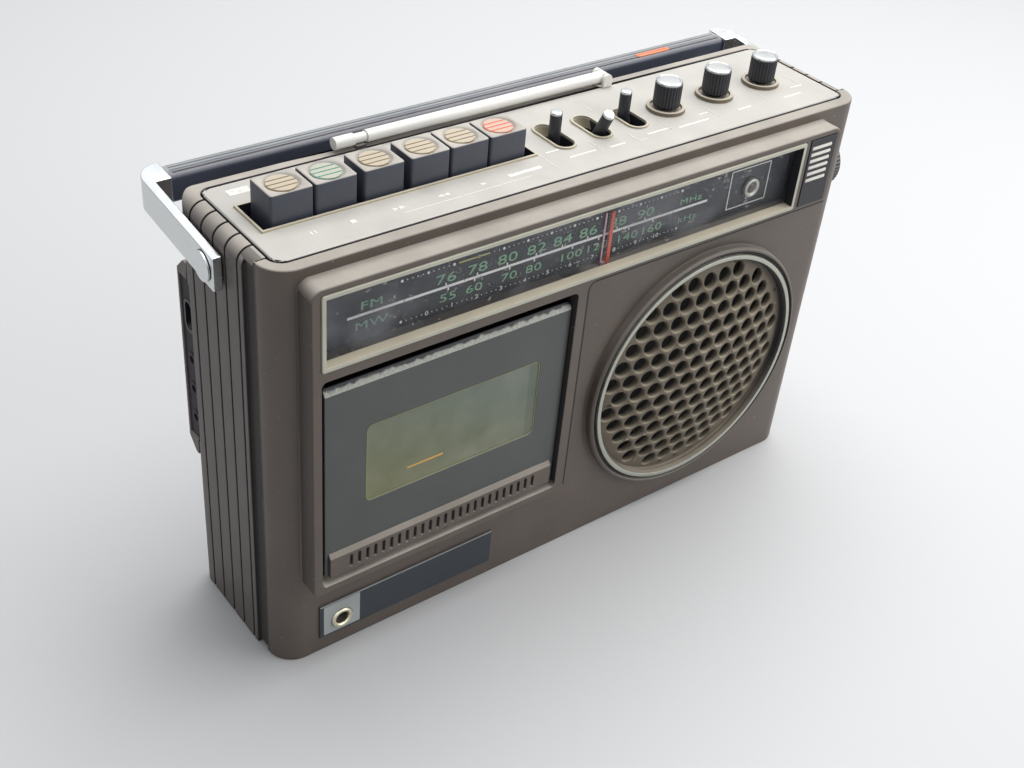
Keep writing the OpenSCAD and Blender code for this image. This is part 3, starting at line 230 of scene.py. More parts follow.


# %% [markdown]
# ## The finishes of this set
# Each finish has the name of the slot that the frame's own record gives it, so a solid that keeps its
# shape only has to look its slot up. The dial's window and the door's window are see-through sheets. Glass
# could bend the light, but sheets this thin hardly do: light passes straight on, and dust, or the tint,
# stops some of it.

# %% Clear and tinted sheets
# Spans of the painted light across and up the door's window, and of its painted shaded side.
WARM_LIGHT_ACROSS = (-118 * MM, -36 * MM)
WARM_LIGHT_UPWARD = (88 * MM, 125 * MM)
SIDE_SHADE = (-37.2 * MM, -36.2 * MM)


def clear_sheet(name, colour, least, most):
    """A clear sheet that shows only where dust or smears make it less than clear."""
    material, tree, shader = blank(name)
    place = node(tree, "TexCoord")
    spots = speckle(tree, place, 430.0, 0.64, 0.72, 0.55)
    haze = maths(tree, "MAXIMUM", speckle(tree, place, 38.0, 0.42, 0.75, most), spots)
    wire(tree, shader, {"Base Color": mix(tree, spots, colour, DUST), "Roughness": 0.25,
                        "Alpha": maths(tree, "MAXIMUM", haze, least)})
    return material


def smoked_sheet(name, low_left, high_right):
    """A tinted sheet with painted light, warmer at its lower left where light comes through, haze and a painted
    shaded side.
    """
    material, tree, shader = blank(name)
    place = node(tree, "TexCoord")
    spot = node(tree, "SeparateXYZ", {"Vector": place["Object"]})
    slant = maths(tree, "ADD", ramp(tree, spot["X"], *WARM_LIGHT_ACROSS), ramp(tree, spot["Z"], *WARM_LIGHT_UPWARD))
    seen = mix(tree, ramp(tree, slant, 0.0, 1.5), low_left, high_right)
    hazy = mix(tree, speckle(tree, place, 60.0, 0.35, 0.8, 0.2), seen, DUST)
    shaded = mix(tree, ramp(tree, spot["X"], *SIDE_SHADE, 0.0, 0.35), hazy, shade(high_right, 0.45))
    wire(tree, shader, {"Base Color": shaded, "Alpha": 0.9, "Roughness": 0.28})
    return material


# %% Every slot's finish
# Painted shade for the grille: hole walls that lie deeper are nearer this middle, far behind the dome, and are
# darker.
GRILLE_HOLE_SHADE = ((70.8 * MM, 175.86 * MM, 77.5 * MM), 218.7 * MM, 215.8 * MM, 0.14)
moulded("cabinet_brown", srgb(92, 82, 74), 0.42, dust=0.5, specks=0.3)
moulded("cabinet_dark", srgb(88, 80, 77), 0.5, dust=0.62, specks=0.3, grain=0.22)
moulded("top_stone", srgb(166, 164, 158), 0.5, dust=0.5, specks=0.8, mottle=0.12,
        dust_colour=srgb(206, 202, 193))
metal("bright_trim", srgb(188, 189, 180), 0.4, dust=0.4)
clear_sheet("clear_lens", srgb(150, 152, 158), 0.07, 0.3)
moulded("dial_black", srgb(33, 36, 42), 0.4, dust=0.3, specks=0.5, mottle=0.2, grain=0.05)
moulded("panel_black", srgb(33, 34, 39), 0.4, dust=0.3, specks=0.2, grain=0.05)
moulded("grille_tan", srgb(104, 95, 82), 0.75, dust=0.8, specks=0.3, mottle=0.2,
        dust_colour=srgb(196, 184, 160), hole_shade=GRILLE_HOLE_SHADE)
metal("bare_steel", srgb(168, 170, 174), 0.35)
moulded("cone_paper", srgb(30, 28, 27), 0.9, grain=0.5, grain_scale=700.0)
moulded("ferrite", srgb(66, 66, 68), 0.8, grain=0.4, grain_scale=900.0)
moulded("plate_navy", srgb(46, 52, 60), 0.35, dust=0.3, specks=0.2, grain=0.04)
metal("jack_brass", srgb(226, 220, 194), 0.32)
moulded("board_brown", srgb(150, 110, 58), 0.5, grain=0.2, grain_scale=600.0)
metal("cast_zinc", srgb(160, 162, 164), 0.45)
metal("bright_chrome", srgb(212, 215, 215), 0.12, smudge=0.16, dust=0.1)
moulded("belt_rubber", srgb(28, 28, 29), 0.8)
moulded("door_grey", srgb(74, 78, 75), 0.36, dust=0.7, specks=0.2, grain=0.05)
smoked_sheet("smoke_window", srgb(116, 118, 78), srgb(104, 116, 102))
moulded("key_slate", srgb(70, 73, 83), 0.45, dust=0.78, specks=0.2, grain=0.06)
moulded("knob_black", srgb(40, 41, 47), 0.45, dust=0.3, specks=0.2, grain=0.08)
moulded("pointer_red", srgb(226, 84, 50), 0.4, mottle=0.03, grain=0.0)
moulded("spindle_ivory", srgb(214, 206, 186), 0.5)
for subpart in frame["record"]["subparts"]:
    solid = frame["nodes"][subpart["node"]].data
    solid.materials.clear()
    solid.materials.append(FINISH[subpart["material_slot"]])
print("finishes:", len(FINISH))

# %% [markdown]
# ## Ways to make a shape
# Three kinds of surface are enough for this set. A turned shape carries a profile of radius and height
# round an axis, a stack joins rounded rectangles of any size, and a softened copy takes a solid of the
# frame and rounds its edges, because no moulded edge is truly sharp and it is the rounded edges that catch
# the light.

# %% Surfaces from arrays
UP = ((1, 0, 0), (0, 1, 0), (0, 0, 1))
FRONT = ((1, 0, 0), (0, 0, 1), (0, -1, 0))
RIGHT = ((0, 1, 0), (0, 0, 1), (1, 0, 0))


def span(name):
    """A solid's lowest and highest corner at rest, in millimetres."""
    low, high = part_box(name)
    return np.array(low) / MM, np.array(high) / MM


def mid(name):
    """The middle of a solid's box, in millimetres."""
    low, high = span(name)
    return (low + high) / 2


def placed(points, facing, place):
    """Turns points so that their own axes lie along the three of facing, and moves them to a place."""
    return points @ np.array(facing, float) + np.array(place, float)


def rounded(points, radius, steps=5):
    """A profile with its corners rounded: between the cuts on both sides, each corner is a parabola's arc."""
    p = np.array(points, float)
    at, before, after = p[1:-1], p[:-2] - p[1:-1], p[2:] - p[1:-1]
    reach_before = np.linalg.norm(before, axis=1)
    reach_after = np.linalg.norm(after, axis=1)
    cut = np.minimum(radius, 0.48 * np.minimum(reach_before, reach_after))
    start = (at + before * (cut / reach_before)[:, None])[:, None]
    end = (at + after * (cut / reach_after)[:, None])[:, None]
    t = np.linspace(0, 1, steps)[None, :, None]
    arcs = (1 - t) ** 2 * start + 2 * t * (1 - t) * at[:, None] + t ** 2 * end
    return np.concatenate([p[:1], arcs.reshape(-1, 2), p[-1:]])


def turned(profile, middle, facing=UP, steps=64, flutes=0, flute_depth=0.0, fluted_to=0.0):
    """Radius and height carried round an axis. Flutes press scallops of that depth, a sine's root, into the
    outer rows up to a height."""
    radius, height = np.array(profile, float).T
    turn = np.linspace(0, 2 * np.pi, steps, endpoint=False)
    scallop = flute_depth * (1 - np.abs(np.sin(flutes * turn / 2)) ** 0.6)
    fluted = (height <= fluted_to) & (radius > 0.6 * radius.max())
    r = radius[:, None] - fluted[:, None] * scallop
    rows = np.stack([r * np.cos(turn), r * np.sin(turn), np.repeat(height[:, None], steps, 1)], -1)
    return placed(rows, facing, middle)


def stack(levels, middle, facing=UP, corner=7):
    """Rounded rectangles joined in order: each is half width, half depth, corner radius, height and, if it is
    given, a shift along the depth. A radius that equals both halves makes a circle, and noughts a point."""
    rows = np.array([(*row, 0.0)[:5] for row in levels])
    half_x, half_y, radius, height, shift = rows.T
    turn = (np.arange(4)[:, None] * np.pi / 2 + np.linspace(0, np.pi / 2, corner)).ravel()
    side_x = np.repeat([1, -1, -1, 1], corner)
    side_y = np.repeat([1, 1, -1, -1], corner)
    x = side_x * (half_x - radius)[:, None] + radius[:, None] * np.cos(turn)
    y = side_y * (half_y - radius)[:, None] + radius[:, None] * np.sin(turn) + shift[:, None]
    return placed(np.stack([x, y, np.repeat(height[:, None], len(turn), 1)], -1), facing, middle)


def prism(outline, thick, place, facing=UP):
    """A flat outline given a thickness: its middle, its two edges and its middle again, joined in order."""
    flat = np.array(outline, float)
    core = np.repeat(flat.mean(0)[None], len(flat), 0)
    levels = np.stack([core, flat, flat, core])
    height = np.array([0.0, 0.0, thick, thick])[:, None, None] * np.ones((1, len(flat), 1))
    return placed(np.concatenate([levels, height], -1), facing, place)


def bar(half_x, half_y):
    """The outline of a rectangle about its middle."""
    return [(-half_x, -half_y), (half_x, -half_y), (half_x, half_y), (-half_x, half_y)]


def quads(rows, cols):
    """Corner numbers of the quads between the rows of a grid whose last column meets its first."""
    r, c = np.meshgrid(np.arange(rows - 1), np.arange(cols), indexing="ij")
    start, ahead = r * cols + c, r * cols + (c + 1) % cols
    return np.stack([start, ahead, ahead + cols, start + cols], -1).reshape(-1, 4)


# %% From arrays to pieces
MERGE = 0.002


def link(name, mesh, finish, body, stands_for=()):
    """Puts a finished mesh into the scene as a piece that rides on a body."""
    piece = bpy.data.objects.new(name, mesh)
    scene.collection.objects.link(piece)
    mesh.materials.clear()
    mesh.materials.append(finish)
    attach(piece, body)
    if stands_for:
        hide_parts(*stands_for)
    return piece


def tidy(mesh, merge=MERGE):
    """Merges doubles, so that seams and poles close, and turns all faces outwards."""
    work = bmesh.new()
    work.from_mesh(mesh)
    bmesh.ops.remove_doubles(work, verts=work.verts, dist=merge * MM)
    bmesh.ops.recalc_face_normals(work, faces=work.faces)
    work.to_mesh(mesh)
    work.free()


def build(name, grids, slot, body, finish=None, stands_for=(), crease=38):
    """One piece from grids of points in millimetres; edges bent by more than crease stay sharp."""
    counts = [grid.shape[0] * grid.shape[1] for grid in grids]
    starts = np.cumsum([0] + counts[:-1])
    points = np.concatenate([grid.reshape(-1, 3) for grid in grids]) * MM
    faces = np.concatenate([quads(*grid.shape[:2]) + start for grid, start in zip(grids, starts)])
    mesh = bpy.data.meshes.new(name)
    mesh.from_pydata(points.tolist(), [], faces.tolist())
    tidy(mesh)
    mesh.shade_smooth()
    mesh.set_sharp_from_angle(angle=math.radians(crease))
    piece = link(name, mesh, finish or FINISH[slot], body, stands_for)
    print(name, "faces:", len(mesh.polygons))
    return piece


def points_of(mesh):
    """A mesh's points as rows of x, y and z."""
    points = np.empty(len(mesh.vertices) * 3)
    mesh.vertices.foreach_get("co", points)
    return points.reshape(-1, 3)


# %% Softened copies
SHARP = math.radians(30)
FLAT = math.radians(0.6)


def merged_copy(name, solid, moved):
    """A copy of a solid, its doubles merged and the triangles of each flat face joined; moved may shift its
    points. Gives back the copy and, for each edge, its bend and its middle in millimetres."""
    mesh = frame["nodes"][solid].data.copy()
    mesh.name = name
    work = bmesh.new()
    work.from_mesh(mesh)
    bmesh.ops.remove_doubles(work, verts=work.verts, dist=MERGE * MM)
    bmesh.ops.join_triangles(work, faces=work.faces, angle_face_threshold=FLAT, angle_shape_threshold=math.pi)
    if moved:
        work.to_mesh(mesh)
        mesh.vertices.foreach_set("co", (moved(points_of(mesh) / MM) * MM).ravel())
        work.clear()
        work.from_mesh(mesh)
    bend = np.array([edge.calc_face_angle(0.0) for edge in work.edges])
    middle = np.array([(edge.verts[0].co + edge.verts[1].co) / 2 for edge in work.edges]) / MM
    work.to_mesh(mesh)
    work.free()
    return mesh, bend, middle


def softened(name, solid, slot, body, width=0.4, wide=None, segments=2, finish=None, moved=None):
    """A copy of a solid whose sharp edges are rounded to width, or to the width that wide gives for the
    middles of its edges, in millimetres; an edge of width nought stays sharp."""
    mesh, bend, middle = merged_copy(name, solid, moved)
    widths = np.full(len(middle), width) if wide is None else wide(middle)
    weight = np.where(bend > SHARP, widths / widths.max(), 0.0)
    store = mesh.attributes.new("bevel_weight_edge", "FLOAT", "EDGE")
    store.data.foreach_set("value", weight.astype(np.float32))
    if "custom_normal" in mesh.attributes:
        mesh.attributes.remove(mesh.attributes["custom_normal"])
    mesh.shade_smooth()
    mesh.set_sharp_from_angle(angle=SHARP)
    piece = link(name, mesh, finish or FINISH[slot], body, (solid,))
    bevel = piece.modifiers.new("rounded edges", "BEVEL")
    bevel.limit_method = "WEIGHT"
    bevel.width = widths.max() * MM
    bevel.segments = segments
    bevel.use_clamp_overlap = False
    bevel.loop_slide = False
    bevel.harden_normals = True
    print(name, "edges rounded:", int((weight > 0).sum()))
    return piece


def paint(piece, finish, chosen):
    """Gives a second finish to the faces whose middles, in millimetres, pass a test."""
    faces = piece.data.polygons
    middle = np.empty(len(faces) * 3)
    faces.foreach_get("center", middle)
    index = np.empty(len(faces), int)
    faces.foreach_get("material_index", index)
    piece.data.materials.append(finish)
    index[chosen(middle.reshape(-1, 3) / MM)] = len(piece.data.materials) - 1
    faces.foreach_set("material_index", index)


# %% [markdown]
# ## The two shells
# The case is two mouldings that meet just behind the front. Both are softened copies: the raised front,
# which carries the dial and the cassette door, has clearly rounder edges than the rest, so the width of
# the rounding follows from where an edge lies. The fine grooves and the band at the joint collect shade,
# and so do the walls of the door's opening, the groove round the speaker's ring, the gap round the top
# plate and the left step of the raised front: that shade is painted on as darker finishes, because
# painting faces of the copy is simpler than laying a second surface into every groove.

# %% Places on the case
dial_low, dial_high = span("dial_frame")
mic_low, mic_high = span("mic_panel")
front_low, front_high = span("front_shell")
rear_high = span("rear_shell")[1]
plate_low, plate_high = span("top_plate")
ring_low, ring_high = span("speaker_ring")
ring_mid = mid("speaker_ring")
RING_R = (ring_high - ring_low)[0] / 2
RAISED_FACE = front_low[1]
PLATE_TOP = front_high[2]
SPEAKER_FACE = -35.5
RAISED_LEFT, RAISED_FOOT = -142.7, 44.4
CORNER_R, TIGHT_R = 5.0, 3.0
DOORWAY = (-138.4, -17.0, 48.0, 153.3)
BULGE_RUN_OUTS = ((70.5, 77.5), (161.0, 168.0))
BULGE_SIDE, BULGE_BACK = 146.0, 33.5
DOORWAY_DEEP, SILL_DEEP = -30.0, -20.0
RING_GROOVE = (-39.2, -36.0)
JOINT_BAND = (12.2, 18.9)
GROOVE_FIRST, GROOVE_PITCH = 22.3, 9.2
print("raised front, top and speaker face in mm:", RAISED_FACE, PLATE_TOP, SPEAKER_FACE)


def between(value, low, high):
    """True where a value lies between two limits."""
    return (value > low) & (value < high)


def away(points, middle):
    """How far points lie from an axis that runs through a middle to the front."""
    return np.hypot(points[:, 0] - middle[0], points[:, 2] - middle[2])


def in_opening(x, z, margin, foot=0.0):
    """Inside the doorway widened by a margin, with its lower limit raised by a foot."""
    left, right, low, high = DOORWAY
    return between(x, left - margin, right + margin) & between(z, low - margin + foot, high + margin)


# %% Edges of the shells
def front_edges(middle):
    """Wide rounding on the outline of the raised front, less on the top edge, least elsewhere."""
    x, y, z = middle.T
    in_strip = between(x, dial_low[0] - 1, mic_high[0] + 1) & between(z, dial_low[2] - 1, dial_high[2] + 1)
    outline = (abs(y - RAISED_FACE) < 0.05) & ~in_strip & ~in_opening(x, z, 0.5)
    return np.where(outline, 0.9, np.where(z > PLATE_TOP - 0.05, 0.8, 0.35))


def tighter_corner(points):
    """The raised front's lower left corner turns tighter: its arc shrinks about a nearer middle."""
    arc = np.array([RAISED_LEFT, RAISED_FOOT]) + CORNER_R
    flat = points[:, [0, 2]]
    on_arc = (abs(np.linalg.norm(flat - arc, axis=1) - CORNER_R) < 0.05) & (flat < arc + 0.05).all(1)
    on_arc &= between(points[:, 1], RAISED_FACE - 0.1, SPEAKER_FACE + 0.1)
    tight = arc - (CORNER_R - TIGHT_R) + TIGHT_R / CORNER_R * (flat - arc)
    points[:, [0, 2]] = np.where(on_arc[:, None], tight, flat)
    return points


def rear_edges(middle):
    """One rounding all over; the corners where the bulge's sloping ends run out at the sides stay sharp."""
    x, y, z = middle.T
    ends = between(z, *BULGE_RUN_OUTS[0]) | between(z, *BULGE_RUN_OUTS[1])
    return np.where((abs(x) > BULGE_SIDE) & (y > BULGE_BACK) & ends, 0.0, 0.4)


# %% Shaded and dusty faces of the shells
def in_plate_gap(middle):
    """The narrow walls that the top plate drops between."""
    x, y, z = middle.T
    around = (abs(x) > plate_high[0] - 1) | (y < plate_low[1] + 1) | (y > plate_high[1] - 1)
    near = (abs(x) < plate_high[0] + 0.95) & between(y, plate_low[1] - 0.95, plate_high[1] + 0.95)
    return around & near & between(z, PLATE_TOP - 4, PLATE_TOP - 0.5)


def in_side_grooves(middle):
    """The band behind the joint and the five grooves of the sides, which lie deeper than the skin."""
    x, y, z = middle.T
    depth = y - SPEAKER_FACE
    across = abs((depth - GROOVE_FIRST + GROOVE_PITCH / 2) % GROOVE_PITCH - GROOVE_PITCH / 2)
    side = between(abs(x), rear_high[0] - 8, rear_high[0] - 0.1) & between(z, 0.1, PLATE_TOP - 0.1)
    return side & (between(depth, *JOINT_BAND) | ((across < 0.75) & between(depth, 20, 62)))


def in_doorway(middle):
    """The side walls and the top wall of the opening that the door fills."""
    x, y, z = middle.T
    return in_opening(x, z, 0.2, 2.2) & between(y, RAISED_FACE + 0.1, DOORWAY_DEEP)


def on_door_sill(middle):
    """The lower wall of the opening, which looks up and holds dust."""
    x, y, z = middle.T
    left, right, low, high = DOORWAY
    return (abs(z - low) < 0.2) & between(x, left, right) & between(y, RAISED_FACE + 0.1, SILL_DEEP)


def on_left_wall(middle):
    """The raised front's step at its left end."""
    x, y, z = middle.T
    return (abs(x - RAISED_LEFT) < 0.1) & between(y, RAISED_FACE + 0.1, SPEAKER_FACE - 0.1)


def in_ring_groove(middle):
    """The groove between the speaker's bright ring and the ridge round it."""
    radius = away(middle, ring_mid)
    return between(radius, RING_R + 0.05, RING_R + 1.7) & between(middle[:, 1], *RING_GROOVE)


# %% Shells
# Painted shade: dark finishes for the places where shade falls.
painted_shade_dark = moulded("painted_shade_dark", srgb(38, 34, 33), 0.7, dust=0.3, specks=0.2)
gap_painted_shade = moulded("gap_painted_shade", srgb(60, 54, 61), 0.7, dust=0.2, specks=0.2)
wall_shade = moulded("wall_shade", srgb(70, 62, 56), 0.5, dust=0.5, specks=0.3)
sill_dust = moulded("sill_dust", srgb(112, 102, 90), 0.7, dust=0.75, specks=0.5, mottle=0.2)
case_front = softened("case_front", "front_shell", "cabinet_brown", "case", wide=front_edges, segments=3,
                      moved=tighter_corner)
# Painted shade in the gap round the top plate.
paint(case_front, gap_painted_shade, in_plate_gap)
# Painted shade on the walls of the door's opening and in the groove round the speaker's ring.
paint(case_front, painted_shade_dark, lambda m: in_doorway(m) | in_ring_groove(m))
# Painted shade on the raised front's left step.
paint(case_front, wall_shade, on_left_wall)
paint(case_front, sill_dust, on_door_sill)
case_rear = softened("case_rear", "rear_shell", "cabinet_dark", "case", wide=rear_edges)
# Painted shade in the gap round the top plate.
paint(case_rear, gap_painted_shade, in_plate_gap)
# Painted shade in the band at the joint and in the side grooves.
paint(case_rear, painted_shade_dark, in_side_grooves)
softened("battery_lid", "battery_cover", "cabinet_dark", "battery_cover", 0.15)

# %% [markdown]
# ## The line beside the raised front
# Where the raised front steps down to the speaker's face a fine dark line of shade runs along its inner edge
# and turns the corner in a small arc. A groove could be cut, but at this width only its shade is seen, so
# it is a thin ribbon of painted shade: a path, and a second path a little to its side.

# %% Edge line
LINE_FOOT, LINE_END = (-11.75, 47.0), (129.5, 156.35)
LINE_TURN_R, LINE_HALF, LINE_LIFT = 4.0, 0.4, 0.08


def edge_line():
    """A path up the edge, round a quarter arc and along, with its left and right side half a width away."""
    turn = np.linspace(np.pi, np.pi / 2, 8)
    middle = np.array([LINE_FOOT[0] + LINE_TURN_R, LINE_END[1] - LINE_TURN_R])
    corner = middle + LINE_TURN_R * np.stack([np.cos(turn), np.sin(turn)], 1)
    path = np.concatenate([[LINE_FOOT], corner, [LINE_END]])
    along = np.gradient(path, axis=0)
    side = np.stack([-along[:, 1], along[:, 0]], 1) / np.linalg.norm(along, axis=1)[:, None] * LINE_HALF
    left, right = path + side, path - side
    levels = []
    for flat, lift in ((left, 0), (left, LINE_LIFT), (right, LINE_LIFT), (right, 0)):
        levels.append(np.stack([flat[:, 0], np.full(len(flat), RAISED_FACE - lift + 0.02), flat[:, 1]], 1))
    ribbon = np.stack(levels, 1)
    core = np.repeat(ribbon.mean(1, keepdims=True), len(levels), 1)
    return np.concatenate([core[:1], ribbon, core[-1:]])


build("raised_edge_painted_shade", [edge_line()], "cabinet_brown", "case", painted_shade_dark)

# %% [markdown]
# ## The top plate
# A flat plate drops into the top of the case. Its key well, lever slots and knob collars have thin paler
# rims. They could be pieces of their own, but they are moulded with the plate, so they are faces of the
# same copy with a second finish. The gap round the plate, the deep walls of the well and the slots, and the
# sides of the collars get painted shade in the same way.

# %% Top plate
KNOBS = ("knob_volume", "knob_bass", "knob_treble")
KNOB_X = [mid(name)[0] for name in KNOBS]


def plate_edges(middle):
    """A wider rounding on the plate's outer edge, which opens the gap around it, and less elsewhere."""
    x, y, z = middle.T
    outer = (abs(x) > plate_high[0] - 0.1) | (y < plate_low[1] + 0.1) | (y > plate_high[1] - 0.1)
    return np.where(outer & (z > PLATE_TOP - 0.1), 0.7, 0.25)


def on_collars(middle):
    """The sides of the low collars that the knobs stand on."""
    near = np.min([abs(middle[:, 0] - x) for x in KNOB_X], axis=0) < 9.5
    return near & between(middle[:, 2], PLATE_TOP + 0.2, PLATE_TOP + 1.4)


plate = softened("control_plate", "top_plate", "top_stone", "case", wide=plate_edges)
beige_rims_and_painted_light = moulded("beige_rims_and_painted_light", srgb(178, 168, 142), 0.5, dust=0.5, specks=0.4, grain=0.06)
well_painted_shade = moulded("well_painted_shade", srgb(30, 30, 38), 0.6, dust=0.25, specks=0.3)
collar_side_painted_shade = moulded("collar_side_painted_shade", srgb(116, 104, 88), 0.55, dust=0.4, specks=0.3)
# Painted shade in the gap round the plate.
paint(plate, gap_painted_shade, in_plate_gap)
paint(plate, beige_rims_and_painted_light, lambda m: m[:, 2] > PLATE_TOP + 0.02)
# Painted shade on the deep walls of the key well and the lever slots.
paint(plate, well_painted_shade, lambda m: m[:, 2] < PLATE_TOP - 2.6)
# Painted shade on the sides of the knob collars.
paint(plate, collar_side_painted_shade, on_collars)

# %% [markdown]
# ## Print on the top plate
# Thin bars, divider lines and the usual transport signs are printed beside the keys and levers. An image
# could hold them, but flat outlines stay sharp at any distance. Each is given a tenth of a millimetre of
# thickness, so that it can be seen from the side as ink would be. Places are across, and in depth behind
# the speaker's face.

# %% Plate print
INK = 0.12
ink_white = printed("ink_white", srgb(248, 247, 243))
plate_ink = printed("plate_ink", srgb(226, 224, 217), 0.6)
DIVIDERS = [(-14.8, 15.8, 29.7), (11.5, 17.3, 27.9), (31.1, 17.1, 23.8), (51.4, 16.6, 28.2),
            (78.6, 16.1, 29.7), (111.0, 18.2, 31.2), (137.8, 24.9, 37.2), (31.1, 48.3, 53.4)]
BARS = [(-28.4, 18.8, 8.2, 1.0), (2.1, 19.5, 7.0, 0.5), (20.2, 18.6, 4.2, 0.5), (-8.0, 27.2, 3.4, 0.45),
        (44.4, 20.2, 6.0, 0.5), (64.0, 18.5, 9.0, 0.55), (95.1, 19.0, 4.2, 0.5), (125.1, 18.2, 5.7, 0.5),
        (133.9, 24.2, 3.6, 0.45), (74.2, 23.6, 2.6, 0.45), (-58.4, 14.6, 30.1, 0.18), (33.6, 17.2, 2.5, 0.18),
        (-134.2, 58.7, 4.6, 2.3)]
ARROW_RIGHT = [(-1.4, -1.1), (1.4, 0.0), (-1.4, 1.1)]
ARROW_LEFT = [(1.4, 1.1), (-1.4, 0.0), (1.4, -1.1)]
SIGNS = [(bar(0.4, 1.2), -126.0), (bar(0.4, 1.2), -124.2), (bar(1.2, 1.2), -108.4), (ARROW_RIGHT, -89.6),
         (ARROW_RIGHT, -86.8), (ARROW_LEFT, -69.5), (ARROW_LEFT, -66.7), (ARROW_RIGHT, -48.8)]
SIGN_DEPTH = 18.6
DIVIDER_HALF = 0.18


def on_plate(outline, x, depth):
    """An outline printed on the plate at a place across and a depth behind the speaker's face."""
    return prism(outline, INK, (x, SPEAKER_FACE + depth, PLATE_TOP - 0.01))


marks = [on_plate(bar(DIVIDER_HALF, (far - near) / 2), x, (near + far) / 2) for x, near, far in DIVIDERS]
marks += [on_plate(bar(half_x, half_d), x, depth) for x, depth, half_x, half_d in BARS]
marks += [on_plate(outline, x, SIGN_DEPTH) for outline, x in SIGNS]
build("plate_print", marks, "top_stone", "case", plate_ink)

# %% [markdown]
# ## Keys
# A key is a block with a soft top edge and a round pad that sits in a shallow ring. The block is a stack
# of rounded rectangles that turn into circles on the way in, and the pad is a disc across which three
# grooves run. Dust has bleached the pads, and their colour is left only in the grooves and round their
# edge.

# %% Keys
CREAM, GREEN, RED = srgb(158, 136, 102), srgb(112, 166, 154), srgb(232, 122, 98)
KEY_PADS = {"key_pause": CREAM, "key_stop": GREEN, "key_forward": CREAM, "key_rewind": CREAM,
            "key_play": CREAM, "key_record": RED}
KEY_BODY, KEY_STEM, KEY_SOFT = 18.4, 3.0, 0.5
PAD_R = 6.1
PAD_RING = PAD_R + 0.3
PAD_GROOVES = (-2.9, 0.0, 2.9)
PAD_GROOVE_DEEP = 0.35
PAD_BLEACH, BLEACHED = srgb(184, 174, 154), 0.74


def key_block(low, high):
    """Levels from the stem up the sides, over a soft edge, in to the pad's ring and down into it."""
    half_x, half_y = (high - low)[:2] / 2
    top, foot = high[2], high[2] - KEY_BODY
    side = [(KEY_STEM, KEY_STEM, 0.3, low[2]), (KEY_STEM, KEY_STEM, 0.3, foot), (half_x, half_y, 0.9, foot)]
    quarter = np.linspace(0, np.pi / 2, 5)
    bend = [(KEY_SOFT * (1 - math.cos(t)), KEY_SOFT * (1 - math.sin(t))) for t in quarter]
    edge = [(half_x - inward, half_y - inward, 1.2, top - down) for inward, down in bend]
    dish = [(PAD_RING + 1.2 - 1.1 * t, top - 0.8 * t) for t in np.linspace(0, 1, 5)]
    inner = [(r, r, r, z) for r, z in dish + [(PAD_RING, top - 0.9), (0, top - 0.9)]]
    return [(0, 0, 0, low[2])] + side + edge + inner


def pad_disc(middle, top):
    """Rows across a disc: at depth y half the width is the circle's; the height drops in each groove."""
    cuts = np.array([-0.36, -0.22, 0.22, 0.36])
    y = np.sort(np.concatenate([np.linspace(-PAD_R, PAD_R, 25)] + [g + cuts for g in PAD_GROOVES]))
    half = np.sqrt(np.maximum(PAD_R ** 2 - y ** 2, 1e-6))
    drop = np.max([PAD_GROOVE_DEEP * (abs(y - g) < 0.3) for g in PAD_GROOVES], axis=0)
    share = np.concatenate([[-1.0, -0.95], np.linspace(-0.9, 0.9, 11), [0.95, 1.0]])
    x = half[:, None] * share
    deep = np.repeat(y[:, None], len(share), 1)
    height = (top - drop)[:, None] - 0.3 * (abs(share) > 0.99)
    over = np.stack([x, deep, height], -1)
    under = np.stack([x, deep, np.full_like(x, top - 1.0)], -1)
    return np.concatenate([over, under[:, ::-1]], 1) + np.array([middle[0], middle[1], 0.0])


def key_pieces(name, colour):
    """A block, and a pad whose lands are dusty and whose grooves and rim keep their colour."""
    low, high = span(name)
    middle, top = mid(name), high[2] - 0.2
    build(name + "_block", [stack(key_block(low, high), (middle[0], middle[1], 0))], "key_slate", name,
          stands_for=(name,), crease=50)
    bleached = tuple(BLEACHED * d + (1 - BLEACHED) * c for d, c in zip(PAD_BLEACH, colour))
    lands = moulded(name + "_lands", bleached, 0.6, dust=0.25, specks=0.4, mottle=0.06, grain=0.05)
    clean = moulded(name + "_grooves", colour, 0.5, mottle=0.05, grain=0.03)
    pad = build(name + "_pad", [pad_disc(middle, top)], "key_slate", name, lands)
    paint(pad, clean, lambda m: m[:, 2] < top - 0.15)


for name, colour in KEY_PADS.items():
    key_pieces(name, colour)

# %% [markdown]
# ## Levers and knobs
# The levers are round posts with bright caps that lean in their slots, and the knobs are fluted drums with
# a bright rim. Both are turned. A lever's profile is turned upright and then tipped about its pivot. Under
# each slot lies a scooped liner, painted dark as the shade in the slot, with painted light at the back
# where the light falls on it.

# %% Levers
LEVERS = {"lever_band": (0.0, 37.0, 22.0), "lever_mode": (25.0, 36.4, 20.8), "lever_power": (0.0, 35.0, 18.0)}
joints = {joint["name"]: joint for joint in frame["joints"]}
LEVER_R, LEVER_DROP, LEVER_RISE = 2.6, 12.0, 12.0
SLOT_HALF = 4.3
LINER_BEND, LINER_FOOT, LINER_SLOPE = -0.6, -4.0, 0.8


def tipped(points, pivot, lean):
    """Turns points about a pivot, towards the front by the lean: depth and height swap by cosine and sine."""
    c, s = math.cos(math.radians(lean)), math.sin(math.radians(lean))
    x, y, z = np.moveaxis(points - pivot, -1, 0)
    return np.stack([x, c * y - s * z, s * y + c * z], -1) + pivot


def liner_wall(slot_length, inset):
    """Levels down a slot's wall: straight, then sloping in at the back because the foot is shorter."""
    r, half = SLOT_HALF - inset, slot_length / 2 - inset
    return [(r, half, r, 0.0), (r, half, r, LINER_BEND), (r, half - LINER_SLOPE, r, LINER_FOOT, -LINER_SLOPE)]


